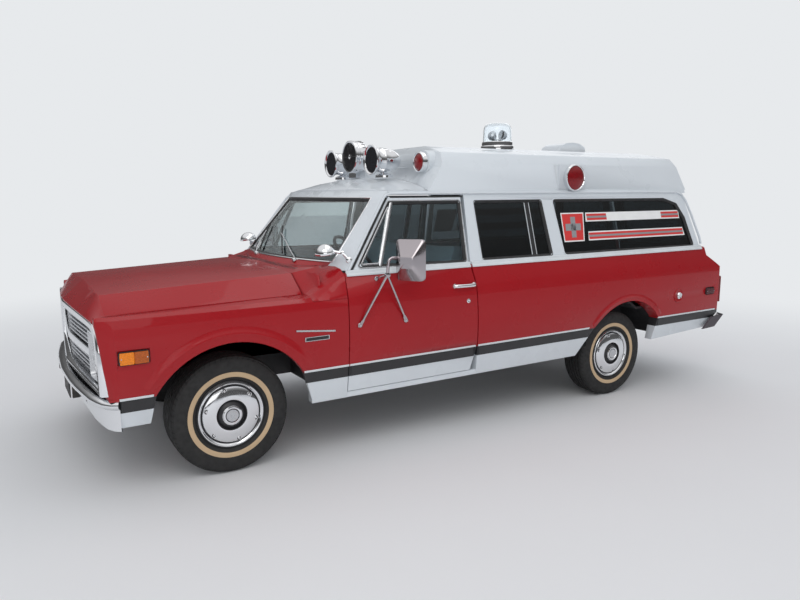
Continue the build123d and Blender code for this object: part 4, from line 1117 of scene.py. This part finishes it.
def front_bumper(bm):
    """The curved blade with its rolled ledge, two brackets, a plate bracket and four bolts."""
    half = [Vector(p) for p in BUMPER]
    path = [Vector((p.x, -p.y)) for p in reversed(half[1:])] + half
    rows = []
    for k, p in enumerate(path):
        ahead = heading(path, k)
        out = Vector((ahead.y, -ahead.x))
        low = foot_z(abs(p.y))
        ring = [(70, 548), (66, 558), (54, 562), (30, 561), (13, 556), (4, 548), (0, 537), (2, 527), (9, 519),
                (20, 514), (26, 508), (27, 498), (26, 470 if low < 450 else low + 14), (28, low + 6),
                (33, low + 1), (39, low + 4), (40, 500), (40, 530), (60, 540)]
        rows.append([(*(p - out * depth), z) for depth, z in ring])
    bar_into(bm, rows)
    for y in (400, -400):
        box_into(bm, (610, y - 12, 455), (776, y + 12, 525), 1)
    box_into(bm, (764, -150, 388), (770, 150, 520), 1)
    for y in (-110, 110):
        box_into(bm, (700, y - 12, 470), (766, y + 12, 476), 1)
    for y in (640, -640, 250, -250):
        centre = (769 - 42 * (y / 640) ** 2, y, 488)
        turned_into(bm, [(-14, 13), (0, 13), (4, 9), (5.5, 0)], centre, X_AXIS, 20, 0)


piece("front_bumper_blade", "body", ["chrome", "iron"], front_bumper, smooth=38, slot="chrome",
      replaces=("front_bumper",))

# Lamps, handles and small fittings


def marker(front, back, low, high):
    """A side marker: a dark tray, two lenses that slope to a ridge, and a screw at each end."""
    def build(bm, side):
        z, split = (low + high) / 2, (front + back) / 2
        y = skin_y(z)
        outline = rounded([(front, low), (front, high), (back, high), (back, low)], 12, 4)
        rows = []
        for grow, h in ((1.0, -6), (1.0, 9), (0.97, 11), (0.93, 11), (0.90, 8)):
            rows.append([(v.x, side * (y + h), v.y) for v in shrunk(outline, Vector((split, z)), grow)])
        grid_into(bm, rows, close_columns=True, caps=False, index=2)
        for k, (a, b) in enumerate(((front - 4, split), (split, back + 4))):
            rows = []
            for x in (a, a - 3, b + 3, b):
                out, inset = (8, 10) if x in (a, b) else (13, 4)
                ring = ((out, low + inset), (15, z), (out, high - inset), (-4, high - 10), (-4, low + 10))
                rows.append([(x, side * (y + h), level) for h, level in ring])
            bar_into(bm, rows, index=k)
        if back > 0:
            moulding_into(bm, side, front + 4, back - 4,
                          [(726, -6), (726, 0.2), (736, 0.3), (752, 0.3), (752, -6)], index=4)
        for x in (front - 12, back + 12):
            turned_into(bm, [(0, 3.5), (2, 3.5), (2.6, 2.5), (2.8, 0)],
                        (x, side * (y + 14), z), (0, side, 0), 12, 3)
    return build


# The front marker's rear lens takes the darker amber, painted shade.
front_markers = mirrored_piece("front_marker", marker(600, 447, 750, 822), BOTH,
                               ["amber_lens", "shaded_amber_lens", "dark", "silver", "red"],
                               smooth=30, slot="amber_lens")
mirrored_piece("rear_marker", marker(-4316, -4434, 711, 771), BOTH,
               ["dark_red_lens", "dark_red_lens", "dark", "silver"], smooth=30, slot="red_lens")
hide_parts("marker_lamps")

HANDLE = [
    # share of the length, half height, distance from the door, half thickness
    (0, 6, 4, 5), (0.04, 10, 12, 8), (0.12, 12, 24, 8), (0.3, 12, 31, 7), (0.6, 12, 33, 7), (0.8, 13, 31, 8),
    (0.9, 15, 22, 10), (0.97, 15, 12, 10), (1.0, 11, 4, 6),
]


def handle_build(x_front):
    """A pull handle with its push button and the key lock below it."""
    def build(bm, side):
        z = 1000.0
        y = skin_y(z)
        rows = []
        for t, half, off, thick in HANDLE:
            turns = [2 * pi * j / 14 for j in range(14)]
            rows.append([(x_front - 198 * t, side * (y + off + thick * cos(a)), z + half * sin(a))
                         for a in turns])
        bar_into(bm, rows)
        turned_into(bm, [(-4, 17), (8, 17), (10, 15), (10, 12), (6, 11), (6, 0)],
                    (x_front - 178, side * (y + 6), z), (0, side, 0), 24)
        turned_into(bm, [(-4, 15), (4, 15), (6, 12), (6, 0)], (x_front - 20, side * y, z), (0, side, 0), 24)
        turned_into(bm, [(-4, 15), (3, 15), (5, 12), (4, 5), (2, 0)],
                    (x_front - 130, side * skin_y(891), 891), (0, side, 0), 24)
    return build


mirrored_piece("door_handle", handle_build(-1529), DOORS, "chrome", smooth=50, slot="chrome")
piece("side_door_handle", SIDE_DOOR, "chrome", handle_build(-2360), -1, smooth=50, slot="chrome")


def filler(bm):
    """The fuel filler's dish, its cap and the cap's grip."""
    y = skin_y(736)
    centre = (-3940, y, 736)
    turned_into(bm, [(-4, 62), (2, 61), (6, 57), (6.5, 52), (3, 46), (1, 38), (1, 0)], centre, Y_AXIS, 40, 0)
    turned_into(bm, [(-6, 30), (10, 30), (16, 27), (19, 20), (20, 0)], centre, (0, 0.96, -0.28), 32, 1)
    box_into(bm, (-3944, y + 16, 716), (-3936, y + 27, 752), 1)


piece("fuel_filler", "body", ["red", "chrome"], filler, smooth=35, slot="chrome")


def fender_bars(bm, side):
    """A thin bright bar on the front fender, and a broader one with a dark face below it."""
    for front, back, z, tall, out, climb, index in (
        (-385, -640, 811, 5, 4, 0.10, 0), (-440, -600, 764, 13, 3, 0, 0), (-446, -594, 764, 9, 4, 0, 1),
    ):
        ring = ((-tall, -2), (-tall, out), (tall, out), (tall, -2))
        bar_into(bm, [[(x, side * (skin_y(z) + h), z + climb * (x + 510) + d) for d, h in ring]
                      for x in (front, (front + back) / 2, back)], index)


mirrored_piece("fender_bar", fender_bars, BOTH, ["silver", "dark"], smooth=25, slot="chrome")


def cowl_z(x, y):
    """Height of the cowl's top, between its crest and its shoulders."""
    t = (x + 505) / -230
    crest = 1156 + t * 32
    shoulder_y, shoulder_z = 665 + t * 85, 1128 + t * 52
    return crest + (shoulder_z - crest) * min(abs(y) / shoulder_y, 1)


def louvres(bm):
    """Black strips across the top of the cowl for its slots: painted shade in the openings."""
    for k in range(-15, 16):
        y = k * 38.0
        x = -518 - 36 * (y / 600) ** 2
        top = [(x, y - 6), (x, y + 6), (x - 34, y + 6), (x - 34, y - 6)]
        verts = [bm.verts.new((a, b, cowl_z(a, b) + rise)) for rise in (1.2, -3) for a, b in top]
        for quad in ((0, 1, 2, 3), (7, 6, 5, 4), (0, 4, 5, 1), (1, 5, 6, 2), (2, 6, 7, 3), (3, 7, 4, 0)):
            bm.faces.new([verts[i] for i in quad])


piece("cowl_louvres", "body", "black", louvres, smooth=25, slot="black_paint")


def wipers(bm):
    """Two arms with their blades, parked low across the windshield."""
    for pivot_y, reach in ((430.0, -0.05), (-250.0, -0.62)):
        foot = Vector((-592 - 95 * (pivot_y / 750) ** 2, pivot_y, 1182))
        turned_into(bm, [(0, 16), (14, 14), (20, 9), (21, 0)], foot, (0.4, 0, 0.9), 20, 0)
        tip = screen_at(1330, reach, 16)
        bend = foot + Vector((0, 0, 22))
        tube_into(bm, [foot + Vector((0, 0, 14)), bend, bend.lerp(tip, 0.15) + Vector((6, 0, 8)), tip],
                  4, 8, 0)
        blade = [screen_at(1215, reach + 0.33, 9), screen_at(1330, reach, 10),
                 screen_at(1380, reach - 0.16, 9)]
        tube_into(bm, blade, 5, 8, 1)
        tube_into(bm, [p + Vector((-2, 0, -5)) for p in blade], 3, 6, 1)


piece("wipers", "body", ["silver", "rubber"], wipers, smooth=45, slot="chrome")

# Mirrors and spot lamps

SQUARE = ((-1, -1), (1, -1), (1, 1), (-1, 1))


def mirror_head(bm, side):
    """A flat glass in a chrome back of sloping facets, on three braces that meet at an elbow."""
    place = Matrix.Translation((-1090, side * 1147, 1215)) @ Matrix.Rotation(radians(-60 * side), 4, "Z")
    outline = rounded([(-98, -130), (-98, 130), (98, 130), (98, -130)], 30, 4)
    inner = rounded([(-46, -50), (-46, 24), (40, 24), (40, -50)], 8, 4)
    housing = [(outline, 0.93, 14), (outline, 0.97, 20), (outline, 1.0, 20), (outline, 1.0, 2),
               (outline, 0.985, -3), (inner, 1.03, -57), (inner, 0.94, -60), (inner, 0.0, -60)]
    pane = [(outline, 0.93, 10), (outline, 0.93, 12), (outline, 0.0, 12)]
    for index, levels in enumerate((housing, pane)):
        rows = [[place @ Vector((v.x * grow, -depth * side, v.y * grow)) for v in ring]
                for ring, grow, depth in levels]
        grid_into(bm, rows, close_columns=True, caps=False, index=index)
    elbow = Vector((-978, side * 1060, 1122))
    for x, y, z in ((-952, 966, 1092), (-811, 1003, 814), (-1146, 1003, 811)):
        pad = Vector((x, side * y, z))
        way = (elbow - pad).normalized()
        turned_into(bm, [(-6, 15), (3, 15), (5, 12), (5, 0)], pad, (0, side, 0), 20)
        turned_into(bm, [(4, 6), (8, 6), (9, 4), (9, 0)], pad, (0, side, 0), 12, 1)
        rows = [[pad + way * d + Vector((a * wide, side * (b * thick + 3), 0)) for a, b in SQUARE]
                for d, wide, thick in ((-14, 9, 2), (-8, 13, 2), (24, 12, 3), (44, 6, 6))]
        bar_into(bm, rows)
        tube_into(bm, [pad + way * 36 + Vector((0, side * 3, 0)), elbow], 7.5, 14)
    arm = ((-978, 1066, 1165), (-979, 1069, 1200), (-988, 1070, 1219),
           (-1006, 1070, 1227), (-1048, 1072, 1228))
    tube_into(bm, [elbow] + [(x, side * y, z) for x, y, z in arm], 10, 16)
    turned_into(bm, [(-13, 15), (13, 15), (14, 11), (14, 0)], elbow, (0.1, side, 0), 20)


# The mirror backs take the darker chrome, a painted dim reflection.
mirrors = mirrored_piece("mirror", mirror_head, DOORS, ["warm_chrome", "silver"], smooth=30, slot="chrome")
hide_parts("mirror_left")
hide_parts("mirror_right")


def spot(bm, side):
    """A spot lamp beside the windshield post, tipped down, with its bracket."""
    centre = Vector((-703 + 27 * side, side * 802, 1268))
    axis = Vector((-0.14, -side * 0.05, -0.99)).normalized()
    shell = [(-45, 0), (-43, 16), (-36, 33), (-22, 50), (-4, 61), (6, 63), (8, 67), (16, 67),
             (19, 64), (18, 60), (12, 58)]
    turned_into(bm, shell, centre, axis, 44, 0)
    turned_into(bm, [(11, 59), (15, 54), (20, 30), (21, 0)], centre, axis, 44, 1)
    knob = Vector((-763, side * 872, 1257))
    stem = Vector((-793, side * 903, 1214))
    tube_into(bm, [centre + Vector((-36, side * 44, 0)), knob, stem], 9, 16)
    turned_into(bm, [(-6, 20), (4, 20), (8, 15), (8, 0)], stem, (0.45, side * 0.88, 0.1), 24)
    turned_into(bm, [(-14, 12), (14, 12), (15, 9), (15, 0)], knob, (0.5, side * 0.8, 0.2), 20)


spots = mirrored_piece("spot_lamp", spot, BOTH, ["chrome", "clear"], smooth=40, slot="chrome")
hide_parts("spot_lamps")

# Lamps and siren on the roof


def red_lamp(bm, centre, axis, radius):
    """A round lamp: bright bezel and a domed fluted lens."""
    r = radius
    turned_into(bm, [(-24, r), (14, r), (22, r - 2), (25, r - 7), (20, r - 12), (12, r - 12)],
                centre, axis, 48, 0)
    turned_into(bm, [(10, r - 11), (20, r - 14), (30, r * 0.66), (37, r * 0.34), (39, 0)],
                centre, axis, 48, 1)


POD = [(-110, 84), (2, 84), (10, 82), (14, 77), (15, 60)]
BULLET = [(-135, 0), (-133, 14), (-123, 36), (-102, 56), (-66, 74), (-20, 84), (20, 86), (24, 89), (30, 89),
          (34, 86), (66, 86), (80, 90), (92, 98), (104, 107), (112, 108), (116, 104), (113, 96), (104, 90)]


def bullet_lamp(bm, side):
    """A long bright lamp on a foot; the two are shifted fore and aft to meet the photograph."""
    centre = Vector((-1395 + 10 * side, -16 + side * 334 + 16 * side, 1862))
    turned_into(bm, BULLET, centre, X_AXIS, 56, 0)
    turned_into(bm, [(105, 92), (100, 86), (97, 50), (96, 0)], centre, X_AXIS, 48, 1)
    tube_into(bm, [centre - Vector((0, 0, 72)), centre - Vector((0, 0, 108))], 20, 20, 0)
    foot = [(-12, 64), (4, 64), (10, 54), (20, 30), (30, 22), (30, 0)]
    turned_into(bm, foot, centre - Vector((0, 0, 112)), Z_AXIS, 32, 0)


for side, tag in SIDES:
    front_lamp = piece(f"front_red_lamp_{tag}", "body", ["chrome", "red_lens"], red_lamp,
                       (-1550, side * 570, 1842), X_AXIS, 72, smooth=40, slot="red_lens")
    if side == 1:
        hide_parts("warning_lamps")
    piece(f"lamp_pod_{tag}", "body", "white", turned_into, POD, (-1586, side * 570, 1842), X_AXIS, smooth=40,
          slot="white_paint")
    piece(f"side_red_lamp_{tag}", "body", ["chrome", "red_lens"], red_lamp, (-2811, side * 822, 1735),
          (0, side, 0), 102, smooth=40, slot="red_lens")
    # The bullet lamps' lenses are near black, a painted dark reflection.
    piece(f"bullet_lamp_{tag}", "body", ["chrome", "dark_lens"], bullet_lamp, side, smooth=40, slot="chrome")

SIREN_X, SIREN_Z = -1272, 1900
DRUM = [(-128, 0), (-126, 60), (-120, 96), (-104, 114), (-84, 119), (-40, 119), (-36, 115), (-30, 115),
        (-26, 119), (-12, 121), (-4, 121), (0, 116), (-2, 106), (-14, 104)]


def siren(bm):
    """A drum on its foot, with rings and spokes in its mouth and slots around its back."""
    centre = (SIREN_X, 0, SIREN_Z)

    def spoke(a, back, front, inner, outer, radius):
        ends = [(SIREN_X - d, r * cos(a), SIREN_Z + r * sin(a)) for d, r in ((back, inner), (front, outer))]
        tube_into(bm, ends, radius, 6, 1)

    turned_into(bm, DRUM, centre, X_AXIS, 56, 0)
    turned_into(bm, [(-14, 104), (-16, 60), (-16, 0)], centre, X_AXIS, 56, 1)
    for r in range(26, 99, 12):
        turned_into(bm, [(-15, r - 2.5), (-8, r - 2), (-8, r + 2), (-15, r + 2.5)],
                    centre, X_AXIS, 48, 1, close=True)
    for k in range(6):
        spoke(2 * pi * k / 6, 9, 9, 16, 104, 2.2)
    for k in range(9):
        spoke(0.3 + 2.2 * k / 8, 68, 96, 118, 116, 4)
    turned_into(bm, [(-16, 18), (-4, 17), (0, 10), (1, 0)], centre, X_AXIS, 24, 0)
    box_into(bm, (-1380, -56, 1744), (-1300, 56, 1796), 0)


piece("siren_drum", "body", ["chrome", "dark"], siren, smooth=35, slot="chrome", replaces=("siren",))

BEACON_X = -2720
BEACON = (BEACON_X, 0, 2010)
DOME = [(46, 124), (130, 122), (166, 118), (186, 110), (199, 92), (206, 60), (209, 0), (204, 0), (201, 58),
        (194, 88), (182, 105), (164, 113), (130, 117), (46, 119)]


def beacon_base(bm):
    turned_into(bm, [(-18, 142), (6, 142), (12, 140), (16, 135), (18, 130), (20, 122)], BEACON, Z_AXIS, 56, 0)
    turned_into(bm, [(20, 134), (44, 132), (48, 128), (48, 122), (20, 122)], BEACON, Z_AXIS, 56, 0)


def beacon_lamps(bm):
    """Two lamps back to back on the beacon's turning post."""
    for side in (1, -1):
        centre, axis = (BEACON_X - side * 12, side * 52, 2112), (side, 0, 0.15)
        turned_into(bm, [(-44, 0), (-40, 18), (-26, 32), (-4, 41), (6, 43), (10, 43), (10, 39)],
                    centre, axis, 32, 0)
        turned_into(bm, [(8, 39), (12, 30), (15, 0)], centre, axis, 32, 1)
    tube_into(bm, [(BEACON_X, 0, 2040), (BEACON_X, 0, 2080)], 26, 20, 0)
    tube_into(bm, [(BEACON_X, -60, 2074), (BEACON_X, 60, 2074)], 10, 12, 0)


def tail_lenses(bm):
    """An upright lens at each rear corner."""
    outline = [Vector(p) for p in ((-4589, 934), (-4557, 961), (-4571, 978), (-4603, 951))]
    middle = sum(outline, Vector((0, 0))) / 4
    for side in (1, -1):
        rows = [[(p.x, side * p.y, z) for p in shrunk(outline, middle, share)]
                for z, share in ((622, 0.8), (628, 1.0), (852, 1.0), (858, 0.8))]
        bar_into(bm, rows)


piece("beacon_base", "body", "chrome", beacon_base, smooth=40, slot="chrome", replaces=("beacon_dome",))
piece("beacon_glass", "body", "smoky", turned_into, DOME, BEACON, Z_AXIS, 56, smooth=50, slot="clear_dome")
piece("beacon_lamps", "beacon_rotor", ["chrome", "clear"], beacon_lamps, smooth=40, slot="chrome",
      replaces=("beacon_rotor",))
piece("tail_lenses", "body", "red_lens", tail_lenses, smooth=30, slot="red_lens",
      replaces=("tail_lamps",), bevel=2)

# Inside


# How long the seat's cloth is blown up, in frames, and how far it may move, in metres
SWELL_FRAMES, SWELL_LIMIT = 16, 0.016


def cushion(name, low, high, slope):
    """A seat cushion: a crowned box, swelled by a cloth simulation and seamed into channels."""
    bm = bmesh.new()
    nx, ny, nz = 8, 22, 3

    def at(*steps):
        x, y, z = (a + (b - a) * step / count for a, b, step, count in zip(low, high, steps, (nx, ny, nz)))
        return (x + slope * (z - low[2]), y, z)

    pos = {}
    for i in range(nx + 1):
        for j in range(ny + 1):
            for k in range(nz + 1):
                if i in (0, nx) or j in (0, ny) or k in (0, nz):
                    pos[i, j, k] = bm.verts.new(at(i, j, k))

    def quads(na, nb, key):
        for a in range(na):
            for b in range(nb):
                bm.faces.new([pos[key(a + i, b + j)] for i, j in ((0, 0), (1, 0), (1, 1), (0, 1))])

    for i in (0, nx):
        quads(ny, nz, lambda a, b, i=i: (i, a, b))
    for j in (0, ny):
        quads(nx, nz, lambda a, b, j=j: (a, j, b))
    for k in (0, nz):
        quads(nx, ny, lambda a, b, k=k: (a, b, k))
    obj = finish_mesh(bm, name, "body", "seat", smooth=180, slot="blue_cloth")
    cut = obj.modifiers.new("cut", "SUBSURF")
    cut.subdivision_type = "SIMPLE"
    cut.levels = 1
    bpy.context.view_layer.objects.active = obj
    bpy.ops.object.modifier_apply(modifier="cut")
    rest = [v.co.copy() for v in obj.data.vertices]
    cloth_mod = obj.modifiers.new("swell", "CLOTH")
    settings = cloth_mod.settings
    settings.use_pressure = True
    settings.uniform_pressure_force = 3.0
    settings.effector_weights.gravity = 0
    settings.quality = 6
    settings.tension_stiffness = 30
    settings.bending_stiffness = 2
    scene = bpy.context.scene
    scene.frame_start, scene.frame_end = 1, SWELL_FRAMES
    for step in range(1, SWELL_FRAMES + 1):
        scene.frame_set(step)
    graph = bpy.context.evaluated_depsgraph_get()
    swelled = obj.evaluated_get(graph).to_mesh()
    moved = [v.co.copy() for v in swelled.vertices]
    obj.evaluated_get(graph).to_mesh_clear()
    obj.modifiers.remove(cloth_mod)
    scene.frame_set(1)
    for v, a, b in zip(obj.data.vertices, rest, moved):
        step = b - a
        v.co = a + step * min(1.0, SWELL_LIMIT / max(step.length, 1e-6))
    smooth_mod = obj.modifiers.new("smooth", "SUBSURF")
    smooth_mod.levels = 2
    smooth_mod.render_levels = 2
    return obj


def channels(obj, pitch, depth, top_only=True):
    """Sewn channels across a cushion: rows of points pulled in."""
    for v in obj.data.vertices:
        phase = (v.co.y / pitch) % 1.0
        dip = max(0.0, 1 - abs(phase - 0.5) * 8)
        v.co -= Vector((0, 0, depth * dip)) if top_only else Vector((depth * dip, 0, 0))


seat = cushion("bench_cushion", (-1680, -670, 770), (-1290, 670, 915), 0.0)
back = cushion("bench_back", (-1790, -670, 905), (-1696, 670, 1236), -0.22)
channels(seat, 0.11, 0.006)
channels(back, 0.11, 0.006, False)
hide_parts("bench_seat")
piece("bench_frame", "body", "black", box_into, (-1670, -640, 662), (-1310, 640, 766), smooth=30,
      slot="black_paint", bevel=8)


def door_card(bm, side, x0, x1):
    """A door's inner panel with an arm rest and a window crank."""
    outline = rounded([(x0, 420), (x0, 1120), (x1, 1120), (x1, 420)], 30, 4)
    middle = Vector(((x0 + x1) / 2, 770))
    rows = [[(v.x, side * y, v.y) for v in shrunk(outline, middle, share)]
            for share, y in ((1.0, 891), (1.0, 886), (0.985, 883), (0.0, 883))]
    grid_into(bm, rows, close_columns=True, caps=False)
    rows = []
    for k in range(5):
        x = x0 + (x1 - x0) * (0.3 + 0.12 * k)
        end = k in (0, 4)
        rest = ((885, 968), (842 + 6 * end, 972), (838 + 8 * end, 984), (846, 1000), (885, 1004))
        rows.append([(x, side * y, z) for y, z in rest])
    bar_into(bm, rows, index=1)
    crank = middle.x + 180
    turned_into(bm, [(0, 16), (14, 12), (20, 8), (20, 0)], (crank, side * 884, 860), (0, -side, 0), 20, 2)
    tube_into(bm, [(crank, side * 866, 860), (crank - 90, side * 862, 880)], 6, 10, 2)


for name, side, x0, x1 in ((LEFT_DOOR, 1, -790, -1690), (RIGHT_DOOR, -1, -790, -1690),
                           (SIDE_DOOR, -1, -1850, -2540)):
    piece(f"door_card_{name}", name, ["trim", "dark", "chrome"], door_card, side, x0, x1, smooth=35,
          slot="dark_plastic")

# Stage, camera and light

PALE = (0.80, 0.82, 0.84, 1)
floor_shade = Material("studio_floor")
floor_shade.colour(floor_shade.mix(floor_shade.noise(0.8, 3.0), (0.84, 0.84, 0.85), (0.80, 0.80, 0.81)))
floor_shade.set(Roughness=0.9)
distance = floor_shade.node("VectorMath", {0: floor_shade.coord}, operation="LENGTH").outputs["Value"]
fade = floor_shade.node("MapRange", {"From Min": 3.2, "From Max": 8.5, "Value": distance},
                        interpolation_type="SMOOTHSTEP")
path = floor_shade.node("LightPath")
gate = floor_shade.math("MULTIPLY", fade.outputs[0], path.outputs["Is Camera Ray"])
glow = floor_shade.node("Emission", {"Strength": 1.0, "Color": PALE})
join = floor_shade.node("MixShader", {"Fac": gate, 1: floor_shade.bsdf.outputs[0], 2: glow.outputs[0]})
floor_shade.feed(floor_shade.out.inputs["Surface"], join.outputs[0])
bm = bmesh.new()
bmesh.ops.create_grid(bm, x_segments=2, y_segments=2, size=60)
mesh = bpy.data.meshes.new("studio_floor")
bm.to_mesh(mesh)
bm.free()
ground = bpy.data.objects.new("studio_floor", mesh)
mesh.materials.append(floor_shade.mat)
bpy.context.scene.collection.objects.link(ground)
ground.location.z = -0.001

sky = Shade(bpy.data.worlds.new("studio"))
bpy.context.scene.world = sky.mat
direction = sky.node("SeparateXYZ", {0: sky.node("TexCoord").outputs["Generated"]}).outputs["Z"]
SKY_STOPS = ((0.0, 0.10), (0.18, 0.08), (0.34, 0.23), (0.56, 0.78), (1.0, 0.86))
level = sky.ramp(direction, [(at, (grey, grey, grey * 1.01)) for at, grey in SKY_STOPS])
path = sky.node("LightPath")
light = sky.node("Background", {"Color": (0.93, 0.96, 1.0, 1), "Strength": 0.68})
mirrored = sky.node("Background", {"Color": level})
plain = sky.node("Background", {"Color": PALE})
seen = sky.math("MAXIMUM", path.outputs["Is Camera Ray"], path.outputs["Is Transmission Ray"])
reflect = sky.node("MixShader", {"Fac": path.outputs["Is Glossy Ray"], 1: light.outputs[0],
                                 2: mirrored.outputs[0]})
shade = sky.node("MixShader", {"Fac": seen, 1: reflect.outputs[0], 2: plain.outputs[0]})
sky.node("OutputWorld", {"Surface": shade.outputs[0]})


def area(name, place, target, size, power, tint=(1, 1, 1)):
    data = bpy.data.lights.new(name, "AREA")
    data.shape = "RECTANGLE"
    data.size, data.size_y = size
    data.energy = power
    data.color = tint
    lamp = bpy.data.objects.new(name, data)
    bpy.context.scene.collection.objects.link(lamp)
    lamp.location = place
    lamp.rotation_euler = (Vector(target) - Vector(place)).to_track_quat("-Z", "Y").to_euler()


area("key", (4.0, 5.5, 6.5), (0, 0, 0.8), (6, 4), 106, (1.0, 0.98, 0.95))
area("top", (-1.0, 0.5, 7.5), (0, 0, 1.0), (8, 4), 58)
area("side", (4.5, 8.5, 2.4), (-0.8, 0, 0.9), (6, 3), 62)
area("fill", (-6.0, -5.0, 4.5), (0, 0, 0.8), (5, 4), 60, (0.95, 0.97, 1.0))

# The camera as solved from the photograph: focal length and width in pixels, place in metres, radians
FOCAL, IMAGE_WIDTH = 669.23, 800
CAMERA_AT = (1.14785 + AXLE_X / 1000, 4.62138, 1.60001)
YAW, PITCH, ROLL = -2.12397, -0.14805, 0.00856
data = bpy.data.cameras.new("camera")
data.sensor_width = 36
data.lens = FOCAL * data.sensor_width / IMAGE_WIDTH
data.clip_end = 200
camera = bpy.data.objects.new("camera", data)
bpy.context.scene.collection.objects.link(camera)
ahead = Vector((cos(PITCH) * cos(YAW), cos(PITCH) * sin(YAW), sin(PITCH)))
right = ahead.cross(Vector((0, 0, 1))).normalized()
above = right.cross(ahead)
right, above = right * cos(ROLL) + above * sin(ROLL), above * cos(ROLL) - right * sin(ROLL)
turn = Matrix((right, above, -ahead)).transposed().to_4x4()
camera.matrix_world = Matrix.Translation(CAMERA_AT) @ turn
bpy.context.scene.camera = camera
bpy.context.scene.view_settings.view_transform = "Standard"
